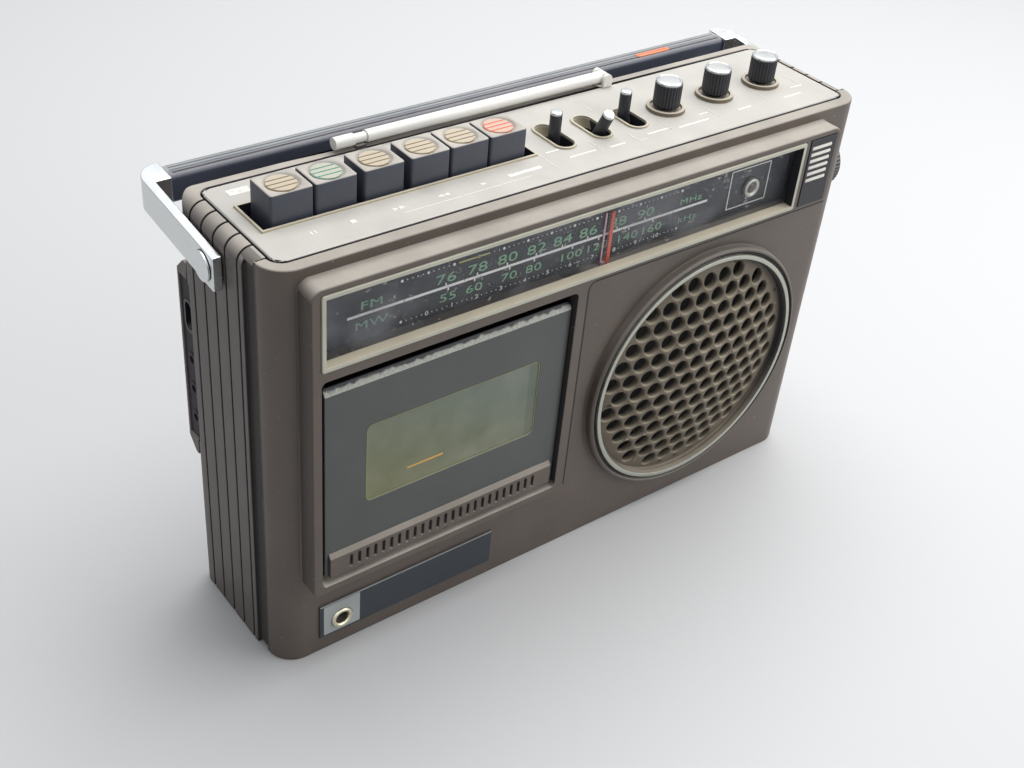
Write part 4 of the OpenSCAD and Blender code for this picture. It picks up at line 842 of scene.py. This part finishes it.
def lever_pieces(name, lean, slot_mid, slot_length):
    """A leaning post with a cap, and the thin funnel in its slot: down its inner wall and up its outer."""
    pivot = np.array(joints[name + "_tilt"]["pos_m"]) / MM
    top = LEVER_DROP + LEVER_RISE / math.cos(math.radians(lean))
    post = [(0, -LEVER_R), (LEVER_R, -LEVER_R), (LEVER_R, top - 1.6), (2.4, top - 1.3), (0, top - 1.3)]
    cap = [(0, top - 1.5), (2.5, top - 1.5), (2.58, top - 0.45), (2.0, top), (0, top)]
    shapes = [tipped(turned(rounded(profile, 0.3), pivot, steps=40), pivot, lean) for profile in (post, cap)]
    build(name + "_post", shapes[:1], "knob_black", name, stands_for=(name,))
    build(name + "_cap", shapes[1:], "bright_chrome", name)
    inner, outer = liner_wall(slot_length, 0.3), liner_wall(slot_length, 0.05)
    slot_y = SPEAKER_FACE + slot_mid
    funnel = stack(inner + outer[::-1] + inner[:1], (pivot[0], slot_y, PLATE_TOP))
    # The liner is painted dark as shade, and its back is painted pale as light falling on it.
    liner = build(name + "_liner", [funnel], "top_stone", "case", well_painted_shade)
    paint(liner, beige_rims_and_painted_light, lambda m: m[:, 1] > slot_y + 0.2 * slot_length)


for name, sizes in LEVERS.items():
    lever_pieces(name, *sizes)

# %% Knobs
KNOB_FLUTES = 26
KNOB_FLOAT = 2.4
SHAFT_R = 3.0
knob_grey = metal("knob_grey", srgb(150, 153, 156), 0.35, dust=0.2)


def knob_pieces(name):
    """A fluted drum, a bright rim that closes its top edge, and a dished grey cap inside the rim."""
    low, high = span(name)
    top, r, foot = high[2], (high - low)[0] / 2, PLATE_TOP + KNOB_FLOAT
    at = (mid(name)[0], mid(name)[1], 0)
    drum = rounded([(0, low[2]), (SHAFT_R, low[2]), (SHAFT_R, foot), (r, foot), (r, top - 1.5),
                    (r - 0.4, top - 1.2), (0, top - 1.2)], 0.25)
    rim = rounded([(r - 0.9, top - 1.3), (r - 0.2, top - 1.3), (r - 0.2, top - 0.5), (r - 0.8, top),
                   (r - 1.3, top - 0.1), (r - 1.4, top - 0.7), (r - 0.9, top - 1.3)], 0.3)
    cap = rounded([(0, top - 1.3), (r - 1.3, top - 1.3), (r - 1.35, top - 0.3), (0, top - 0.35)], 0.2)
    fluted = turned(drum, at, UP, KNOB_FLUTES * 8, KNOB_FLUTES, 0.4, top - 1.5)
    build(name + "_drum", [fluted], "knob_black", name, stands_for=(name,), crease=60)
    build(name + "_rim", [turned(rim, at)], "bright_chrome", name)
    build(name + "_cap", [turned(cap, at)], "knob_black", name, knob_grey)


for name in KNOBS:
    knob_pieces(name)

# %% [markdown]
# ## Tuning knob
# The wheel on the right side is a broad serrated drum on a short shaft, so that a thumb can turn it from
# the front. It is turned like the other knobs, with its axis to the right and finer teeth.

# %% Tuning knob
TUNING_TEETH = 44
WHEEL_R, WHEEL_WIDE = 14.0, 9.5
wheel_low, wheel_high = span("tuning_knob")
wheel_mid = mid("tuning_knob")
wheel_x0, wheel_x1 = wheel_high[0] - WHEEL_WIDE, wheel_high[0]
wheel = rounded([(0, wheel_low[0]), (SHAFT_R, wheel_low[0]), (SHAFT_R, wheel_x0), (WHEEL_R - 0.8, wheel_x0),
                 (WHEEL_R, wheel_x0 + 0.8), (WHEEL_R, wheel_x1 - 0.8), (WHEEL_R - 0.8, wheel_x1),
                 (10.5, wheel_x1), (10, wheel_x1 - 0.7), (0, wheel_x1 - 0.7)], 0.4)
toothed = turned(wheel, (0, wheel_mid[1], wheel_mid[2]), RIGHT, TUNING_TEETH * 6, TUNING_TEETH, 0.6,
                 wheel_x1 - 0.4)
build("tuning_wheel", [toothed], "knob_black", "tuning_knob", stands_for=("tuning_knob",), crease=60)

# %% [markdown]
# ## The dial
# Behind a clear window lies a black plate printed with two scales. Numbers could be drawn stroke by
# stroke, but a font has them ready: each is text that is made a mesh first and placed afterwards. The
# rule, ticks and dots are flat outlines a tenth of a millimetre thick.

# %% Helpers for the dial's print
DIAL_FACE = -37.0
DIAL_INK = DIAL_FACE - INK / 2
LETTER_SPACE = 1.06
LETTER_THICK = 0.02
WIDE_LETTERS, FINE_LETTERS = 1.62, 1.3


def add_letters(work, words, height, place, stretch):
    """Adds a text to a mesh in the making: made a mesh, centred, scaled to a height, stretched sideways,
    given the thickness of ink and turned to the front."""
    text = bpy.data.curves.new("letters", "FONT")
    text.body = words
    text.extrude = LETTER_THICK
    text.space_character = LETTER_SPACE
    holder = bpy.data.objects.new("letters", text)
    scene.collection.objects.link(holder)
    bpy.context.view_layer.update()
    mesh = bpy.data.meshes.new_from_object(holder.evaluated_get(bpy.context.evaluated_depsgraph_get()))
    bpy.data.objects.remove(holder)
    points = points_of(mesh)
    low, high = points.min(0), points.max(0)
    scale = height / (high[1] - low[1])
    points = (points - (low + high) / 2) * [scale * stretch, scale, 1]
    points[:, 2] = np.sign(points[:, 2]) * INK / 2
    mesh.vertices.foreach_set("co", (placed(points, FRONT, place) * MM).ravel())
    work.from_mesh(mesh)


def lettering(name, words, finish, stretch=WIDE_LETTERS):
    """One piece of several words on the dial: each is text, height, and its place across and up."""
    work = bmesh.new()
    for text, height, x, z in words:
        add_letters(work, text, height, (x, DIAL_INK, z), stretch)
    mesh = bpy.data.meshes.new(name)
    work.to_mesh(mesh)
    work.free()
    tidy(mesh, MERGE / 4)
    mesh.shade_flat()
    link(name, mesh, finish, "case")
    print(name, "faces:", len(mesh.polygons))


def slab(x, z, half_x, half_z, face=DIAL_FACE, thick=INK):
    """A thin flat mark on a face that looks to the front."""
    return prism(bar(half_x, half_z), thick, (x, face, z), FRONT)


def dot(x, z, radius, sides=12):
    """A thin round mark on the dial."""
    turn = np.linspace(0, 2 * np.pi, sides, endpoint=False)
    return prism(radius * np.stack([np.cos(turn), np.sin(turn)], 1), INK, (x, DIAL_FACE, z), FRONT)


# %% Dial print
FM_Z, MW_Z = 176.0, 167.2
FM_TALL, MW_TALL, FINE_TALL = 4.2, 3.5, 1.9
FM_PLACES = {"76": -79.2, "78": -64.4, "80": -49.9, "82": -35.5, "84": -22.2, "86": -8.8, "88": 7.0,
             "90": 22.4}
MW_PLACES = {"55": -78.0, "60": -65.5, "70": -48.5, "80": -36.2, "100": -16.5, "120": -2.6, "140": 13.9,
             "160": 27.5}
BAND_NAMES = [("FM", 3.4, -112.5, 175.8), ("MW", 3.4, -112.3, MW_Z), ("MHz", 2.8, 48.7, 175.4),
              ("kHz", 2.8, 48.2, 166.5)]
RULE_Z, UPPER_DOTS_Z, LOWER_DOTS_Z = 172.0, 181.1, 162.7
DOTS_FROM, DOTS_TO, DOT_R, FINE_DOT_R = -99.4, 42.4, 0.62, 0.24
TICK_HALF = (0.3, 0.9)
RULE_X, RULE_HALF = -32.1, (91.0, 0.55)
GUIDE_X, GUIDE_HALF = -66.4, (7.2, 0.35)
LAMP_BOX_X, LAMP_BOX_Z = (72.2, 96.2), (163.4, 182.0)
LAMP_BOX_MID, LAMP_BOX_HALF, LAMP_LINE = (84.2, 172.7), (12.2, 9.5), 0.22
ink_green = printed("ink_green", srgb(132, 178, 142))
lettering("dial_numbers", [(number, FM_TALL, x, FM_Z) for number, x in FM_PLACES.items()]
          + [(number, MW_TALL, x, MW_Z) for number, x in MW_PLACES.items()] + BAND_NAMES, ink_green)
majors = np.linspace(DOTS_FROM, DOTS_TO, 13)
minors = np.setdiff1d(np.round(np.linspace(DOTS_FROM, DOTS_TO, 61), 3), np.round(majors, 3))
scale_words = [(str(n), FINE_TALL, x, LOWER_DOTS_Z) for n, x in enumerate(majors[1:12])]
lettering("scale_numbers", scale_words, ink_white, FINE_LETTERS)
marks = [dot(x, UPPER_DOTS_Z, DOT_R) for x in majors] + [dot(x, LOWER_DOTS_Z, DOT_R) for x in majors[[0, 12]]]
marks += [dot(x, z, FINE_DOT_R, 8) for x in minors for z in (UPPER_DOTS_Z, LOWER_DOTS_Z)]
marks += [slab(x, RULE_Z + TICK_HALF[1], *TICK_HALF) for x in FM_PLACES.values()]
marks += [slab(x, RULE_Z - TICK_HALF[1], *TICK_HALF) for x in MW_PLACES.values()]
marks += [slab(RULE_X, RULE_Z, *RULE_HALF)]
marks += [slab(LAMP_BOX_MID[0], z, LAMP_BOX_HALF[0], LAMP_LINE) for z in LAMP_BOX_Z]
marks += [slab(x, LAMP_BOX_MID[1], LAMP_LINE, LAMP_BOX_HALF[1]) for x in LAMP_BOX_X]
build("dial_scales", marks, "dial_black", "case", ink_white)
build("dial_guide", [slab(GUIDE_X, UPPER_DOTS_Z, *GUIDE_HALF)], "dial_black", "case",
      printed("ink_straw", srgb(202, 196, 128)))

# %% [markdown]
# ## Needle, lamp and border of the dial
# The red needle has a pale pink bar a little behind it and to its left, on the same pale foot. The lamp is
# a bright ring round a dark jewel, both turned. The border is a softened copy, because it has to meet the
# case exactly, and its lower ledge holds dust.

# %% Needle and lamp
NEEDLE_X = 2.4
NEEDLE_BACK = DIAL_FACE - 0.35
JEWEL_R = 2.5
needle_pale = moulded("needle_pale", srgb(222, 176, 186), 0.4, mottle=0.03, grain=0.0)
build("needle_pale_bar", [slab(NEEDLE_X - 2.75, 171.0, 0.4, 11.6, NEEDLE_BACK, 0.4),
                      slab(NEEDLE_X - 1.4, 158.9, 1.9, 0.5, NEEDLE_BACK, 1.2)],
      "pointer_red", "dial_pointer", needle_pale)
lamp_low, lamp_high = span("level_lamp")
lamp_mid = mid("level_lamp")
lamp_r, back, front = (lamp_high - lamp_low)[0] / 2, -lamp_high[1], -lamp_low[1]
lamp_ring = rounded([(JEWEL_R, back), (lamp_r, back), (lamp_r, front - 0.5), (lamp_r - 0.7, front),
                     (JEWEL_R + 0.6, front - 0.2), (JEWEL_R, front - 0.7), (JEWEL_R, back)], 0.4)
jewel = rounded([(0, back), (JEWEL_R - 0.05, back), (JEWEL_R - 0.05, front - 0.8),
                 (JEWEL_R - 0.9, front - 0.2), (0, front - 0.05)], 0.5)
at_lamp = (lamp_mid[0], 0, lamp_mid[2])
build("lamp_ring", [turned(lamp_ring, at_lamp, FRONT)], "bright_trim", "case", stands_for=("level_lamp",))
build("lamp_jewel", [turned(jewel, at_lamp, FRONT)], "bright_trim", "case",
      moulded("jewel_brown", srgb(88, 74, 66), 0.12, mottle=0.2, grain=0.0))

# %% Border
RIM = 2.0
border_cream = moulded("border_cream", srgb(184, 182, 166), 0.4, dust=0.4, specks=0.5, mottle=0.12,
                       grain=0.06)
ledge_dust = moulded("ledge_dust", srgb(206, 194, 168), 0.8, dust=0.6, specks=0.6, mottle=0.16,
                     dust_colour=srgb(226, 216, 194))


def inside_border(middle, top, margin):
    """The border's inner walls from its lower ledge to a height, past its inner ends by a margin."""
    x, y, z = middle.T
    across = between(x, dial_low[0] + RIM - margin, dial_high[0] - RIM + margin)
    return across & (y > dial_low[1] + 0.3) & between(z, dial_low[2] + RIM - 0.3, top + 0.3)


border = softened("dial_border", "dial_frame", "bright_trim", "case", 0.3, finish=border_cream)
# Painted shade: the border's inner walls above the ledge are painted black.
paint(border, FINISH["panel_black"], lambda m: inside_border(m, dial_high[2] - RIM, 0.3))
paint(border, ledge_dust, lambda m: inside_border(m, dial_low[2] + RIM, 0.0))

# %% [markdown]
# ## Speaker
# The bright ring is turned, flat and narrow, and its inner chamfer is painted dark as shade. The grille is a
# shallow dome and a softened copy: rounding the rim of every hole makes the pale lower lips under each dark
# hole. Its finish carries painted shade that darkens towards the dome's own middle, so the walls of a hole
# grow darker the deeper they lie, wherever on the dome the hole is. The wall round the grille's edge is
# painted dark as shade too.

# %% Speaker
RING_IN = RING_R - 2.8
GRILLE_FACE_R = 58.5
back, front = -ring_high[1], -ring_low[1]
bead = rounded([(RING_IN, back), (RING_IN, front - 1.0), (RING_IN + 0.9, front), (RING_R, front),
                (RING_R, back), (RING_IN, back)], 0.3)
# Painted shade for the speaker's well, with dust where it faces up.
speaker_well_painted_shade = moulded("speaker_well_painted_shade", srgb(44, 40, 41), 0.7, dust=0.7, specks=0.3,
                     dust_colour=srgb(176, 164, 144))
ring_satin = metal("ring_satin", srgb(178, 179, 168), 0.45, smudge=0.2, dust=0.35, scratch=0.12)
ring = build("speaker_bead", [turned(bead, (ring_mid[0], 0, ring_mid[2]), FRONT, 160)], "bright_trim", "case",
             ring_satin, ("speaker_ring",))
# Painted shade on the ring's inner chamfer.
paint(ring, speaker_well_painted_shade, lambda m: away(m, ring_mid) < RING_IN + 0.85)
grille = softened("speaker_holes", "speaker_grille", "grille_tan", "case", 0.85, segments=3)
# Painted shade on the wall round the grille's edge.
paint(grille, speaker_well_painted_shade, lambda m: away(m, ring_mid) > GRILLE_FACE_R)

# %% [markdown]
# ## The door
# The door is a softened copy with a worn pale lip along its top edge, whose upper part is painted dark as
# shadow, and a thin pale line round its window. The wear and the painted shadow could be a piece of their
# own, but they have no thickness, so they are a finish that noise makes ragged. The slotted foot is a copy
# too, whose top is pulled down at the front into a slope.

# %% Door
DOOR_FACE, DOOR_TOP, DOOR_LEFT = -42.5, 147.2, -136.0
HINGE_TOP = 55
RAG = 3 * MM


def door_edges(middle):
    """Broader on the left edge, fine elsewhere, and none at the hinge, where the parts are small."""
    x, y, z = middle.T
    hinge = (z < HINGE_TOP) & (y > DOOR_FACE + 0.1)
    return np.where(hinge, 0.0, np.where((x < DOOR_LEFT + 0.2) & (y < DOOR_FACE + 0.1), 0.4, 0.35))


def worn_edge(name, pale, dark, low, high):
    """Worn paint and painted shadow: pale under one height, dark as shadow over another, both shifted by noise."""
    material, tree, shader = blank(name)
    place = node(tree, "TexCoord")
    height = node(tree, "SeparateXYZ", {"Vector": place["Object"]})["Z"]
    shift = maths(tree, "MULTIPLY_ADD", noise(tree, place["Object"], 260.0, 4.0), RAG, height)
    worn = ramp(tree, shift, low * MM + RAG / 2, high * MM + RAG / 2)
    paler = mix(tree, speckle(tree, place, 900.0, 0.35, 0.7, 0.5), pale, shade(pale, 0.4))
    wire(tree, shader, {"Base Color": mix(tree, worn, paler, dark), "Roughness": 0.5})
    return material


def on_door_lip(middle):
    """The slope along the door's top edge."""
    return (middle[:, 2] > DOOR_TOP - 2.8) & between(middle[:, 1], DOOR_FACE + 0.05, DOOR_FACE + 2.6)


door_leaf = softened("door_leaf", "door_panel", "door_grey", "door", wide=door_edges, segments=3)
# The lip is worn pale below and painted dark as shadow above, ragged with noise.
paint(door_leaf, worn_edge("worn_lip_and_painted_shadow", srgb(196, 197, 186), srgb(34, 33, 36), DOOR_TOP - 1.7, DOOR_TOP - 0.9),
      on_door_lip)

# %% Window
PANE_CORNER, PANE_LINE = 3.0, 0.28
pane_low, pane_high = span("door_window")
pane_mid, pane_half = mid("door_window"), (pane_high - pane_low) / 2
back, front = -pane_low[1] - 0.2, -pane_low[1] + 0.3
outer = (pane_half[0] + 0.05, pane_half[2] + 0.05, PANE_CORNER)
inner = tuple(size - PANE_LINE for size in outer)
line = [(*outer, back), (*outer, front), (*inner, front), (*inner, back), (*outer, back)]
build("window_line", [stack(line, (pane_mid[0], 0, pane_mid[2]), FRONT)], "smoke_window", "door",
      moulded("glass_line", srgb(140, 142, 100), 0.35, grain=0.0))
build("window_glint", [slab(-88.2, 92.9, 8.8, 0.45, pane_low[1], 0.1)], "smoke_window", "door",
      moulded("glint_orange", srgb(214, 164, 84), 0.4, grain=0.0))

# %% Slotted foot
foot_low, foot_high = span("vent_strip")
FOOT_DROP, SLOT_DROP = 2.4, 0.9


def sloping_top(points):
    """The foot's top slopes: its front edge comes down, and the slots' points with it by a little."""
    x, y, z = points.T
    inside = between(x, foot_low[0] + 1, foot_high[0] - 1) & between(z, foot_low[2] + 0.3, foot_high[2] - 0.3)
    front_top = (z > foot_high[2] - 0.1) & (y < foot_low[1] + 0.1)
    points[:, 2] = np.where(front_top, foot_high[2] - FOOT_DROP, np.where(inside, z - SLOT_DROP, z))
    return points


def on_foot_slope(middle):
    """The faces of the slope."""
    x, y, z = middle.T
    return between(z, foot_high[2] - 2.2, foot_high[2] - 0.1) & between(y, foot_low[1] + 0.3, DOOR_FACE - 0.1)


foot = softened("door_foot", "vent_strip", "cabinet_brown", "door", 0.3, moved=sloping_top)
paint(foot, moulded("slope_dust", srgb(112, 101, 90), 0.6, dust=0.6, specks=0.3), on_foot_slope)

# %% [markdown]
# ## Microphone, name plate and headphone jack
# Six ivory bars cover the microphone. The name plate is a plain dark strip with a fine bright trim and a
# silver square round the jack. The jack is a turned ring with a bore, so that a plug's hole stays open, and
# the deep part of the bore is painted dark as shade.

# %% Microphone
MIC_BARS, MIC_PITCH, MIC_FIRST = 6, 3.2, 4.3
mic_mid = mid("mic_panel")
softened("mic_cover", "mic_panel", "panel_black", "case", 0.25,
         finish=moulded("mic_black", srgb(26, 27, 33), 0.45, specks=0.2))
levels = [(0, 0, 0, 0), (6.3, 0.8, 0.4, 0), (6.3, 0.8, 0.4, 0.5), (6.0, 0.5, 0.4, 0.75), (0, 0, 0, 0.75)]
heights = mic_high[2] - MIC_FIRST - MIC_PITCH * np.arange(MIC_BARS)
build("mic_bars", [stack(levels, (mic_mid[0] - 0.6, mic_low[1] + 0.6, height), FRONT) for height in heights],
      "panel_black", "case", moulded("mic_ivory", srgb(228, 224, 214), 0.5, specks=0.3))

# %% Name plate and jack
FOIL_AT, FOIL_THICK = (-124.0, 17.6), 0.15
FOIL_EDGE, FOIL_HOLE, FOIL_SHIFT = (9.0, 8.4, 0.4), (5.4, 5.4, 5.4), -1.8
name_low, name_high = span("name_plate")
name_mid, name_half = mid("name_plate"), (name_high - name_low) / 2
NAME_FACE = name_low[1]
softened("bare_name_plate", "name_plate", "plate_navy", "case", 0.2)
silver_foil = moulded("silver_foil", srgb(164, 169, 168), 0.35, specks=0.3, mottle=0.15, grain=0.04)
foil = [(*FOIL_EDGE, 0.0), (*FOIL_EDGE, FOIL_THICK), (*FOIL_HOLE, FOIL_THICK, FOIL_SHIFT),
        (*FOIL_HOLE, 0.0, FOIL_SHIFT), (*FOIL_EDGE, 0.0)]
square = stack(foil, (FOIL_AT[0], NAME_FACE, FOIL_AT[1]), FRONT)
top_line = slab(name_mid[0], name_high[2] - 0.35, name_half[0] - 0.2, 0.25, NAME_FACE, FOIL_THICK)
build("name_plate_trim", [square, top_line], "plate_navy", "case", silver_foil)
jack_low = span("phone_jack")[0]
jack_mid, front = mid("phone_jack"), -jack_low[1]
BORE_R, BORE_DEEP = 3.2, 8.0
JACK_R, JACK_NECK = 5.2, 4.6
jack_ring = rounded([(0, front - BORE_DEEP), (BORE_R, front - BORE_DEEP), (BORE_R, front - 2.2),
                     (BORE_R, front - 0.8), (BORE_R + 0.5, front), (JACK_R - 0.5, front),
                     (JACK_R, front - 0.8), (JACK_R, front - 2.2), (JACK_NECK, front - 2.2),
                     (JACK_NECK, front - BORE_DEEP - 0.2),
                     (0, front - BORE_DEEP - 0.2)], 0.4)
jack = build("jack_ring", [turned(jack_ring, (jack_mid[0], 0, jack_mid[2]), FRONT)], "jack_brass", "case",
             stands_for=("phone_jack",))
# Painted shade in the deep part of the bore.
paint(jack, well_painted_shade, lambda m: (away(m, jack_mid) < BORE_R + 0.2) & (m[:, 1] > jack_low[1] + 4.5))

# %% [markdown]
# ## Handle and antenna
# The handle's arms are bright plated metal, softened so that their edges shine. The grip is near black
# with a grey dusty top and a small orange inlay. The antenna and the sockets of the side keep their
# solids, because round rods need no softening: they only get finishes of their own. The plated antenna is
# painted a matte near white as a painted reflection of its glare, and the sockets and their panel are
# painted near black with the shade of their recesses.

# %% Handle and antenna
GRIP_FRONT = 0.38
INLAY_X = 104.0
for side in ("left", "right"):
    softened("handle_bar_" + side, "handle_arm_" + side, "bright_chrome", "handle", 0.5, segments=3)
grip_dark = moulded("grip_dark", srgb(94, 100, 118), 0.4, dust=0.8, specks=0.2,
                    dust_colour=srgb(166, 168, 162))
grip_low, grip_high = span("handle_grip")
grip = softened("handle_grip_bar", "handle_grip", "knob_black", "handle", 0.3, finish=grip_dark)
paint(grip, moulded("grip_navy", srgb(74, 79, 94), 0.4, dust=0.25, specks=0.2),
      lambda m: m[:, 1] < (1 - GRIP_FRONT) * grip_low[1] + GRIP_FRONT * grip_high[1])
inlay = [(0, 0, 0, -0.2), (10.4, 1.5, 1.5, -0.2), (10.4, 1.5, 1.5, 0.15), (10.2, 1.3, 1.3, 0.3),
         (0, 0, 0, 0.3)]
build("grip_inlay", [stack(inlay, (INLAY_X, grip_low[1] + 3.4, grip_high[2]))], "knob_black", "handle",
      moulded("inlay_orange", srgb(232, 118, 70), 0.4, specks=0.2, grain=0.0))
# Painted reflection: the plated antenna is painted a near white that stands in for its glare.
aerial_painted_reflection = moulded("aerial_painted_reflection", srgb(236, 234, 228), 0.32, specks=0.1, mottle=0.03, grain=0.0)
# Painted shade: the side sockets and their panel are painted near black as the shade of their recesses.
recess_painted_shade = moulded("recess_painted_shade", srgb(25, 23, 28), 0.7, specks=0.1)
OWN_FINISH = {"antenna_turret": aerial_painted_reflection, "antenna_tube": aerial_painted_reflection, "antenna_rod": aerial_painted_reflection,
              "jack_panel": recess_painted_shade, "mini_jacks": recess_painted_shade}
for solid, finish in OWN_FINISH.items():
    frame["nodes"][solid].data.materials[0] = finish

# %% [markdown]
# ## Floor and light
# A pale floor carries the set. One broad soft lamp stands above and a little behind, so that everything
# that faces up is bright, and a weaker one fills in from the front right. What the bright metal mirrors is
# a sky that is grey at the horizon and pale overhead; only glossy rays see it.

# %% Floor and light
FLOOR_HALF, FLOOR_DROP = 6.0, 0.2 * MM
AMBIENT = 0.36
MIRRORED = (0.22, 1.7)


def add_floor():
    """A wide pale sheet just under the set."""
    mesh = bpy.data.meshes.new("floor")
    mesh.from_pydata([(x, y, -FLOOR_DROP) for x, y in bar(FLOOR_HALF, FLOOR_HALF)], [], [(0, 1, 2, 3)])
    material, tree, shader = blank("floor_pale")
    wire(tree, shader, {"Base Color": srgb(206, 206, 206), "Roughness": 0.8})
    mesh.materials.append(material)
    floor = bpy.data.objects.new("floor", mesh)
    scene.collection.objects.link(floor)


def add_lamp(name, place, aim, size, watts):
    """A square soft lamp at a place in metres, turned to face a point."""
    lamp = bpy.data.objects.new(name, bpy.data.lights.new(name, "AREA"))
    lamp.data.size = size
    lamp.data.energy = watts
    ahead = np.array(aim) - np.array(place)
    right = np.cross(ahead, (0.0, 1.0, 0.01))
    lamp.matrix_world = aimed(right / np.linalg.norm(right), ahead / np.linalg.norm(ahead), place)
    scene.collection.objects.link(lamp)


def add_sky():
    """An even ambient light; mirrored, it runs from grey at the horizon to pale overhead."""
    sky = bpy.data.worlds.new("studio")
    sky.use_nodes = True
    tree = sky.node_tree
    way = node(tree, "SeparateXYZ", {"Vector": node(tree, "TexCoord")["Generated"]})
    mirrored = ramp(tree, way["Z"], -0.1, 0.8, *MIRRORED)
    glossy = node(tree, "LightPath")["Is Glossy Ray"]
    strength = node(tree, "Mix", {0: glossy, 2: AMBIENT, 3: mirrored})
    wire(tree, tree.nodes["Background"], {"Color": (0.92, 0.95, 1.0, 1.0), "Strength": strength[0]})
    scene.world = sky


add_floor()
add_lamp("sky_lamp", (0.45, 0.2, 1.4), (0, 0, 0.1), 1.5, 27)
add_lamp("front_lamp", (0.8, -0.8, 0.6), (0.05, 0, 0.1), 0.8, 5.5)
add_sky()
print("lamps:", len(bpy.data.lights))
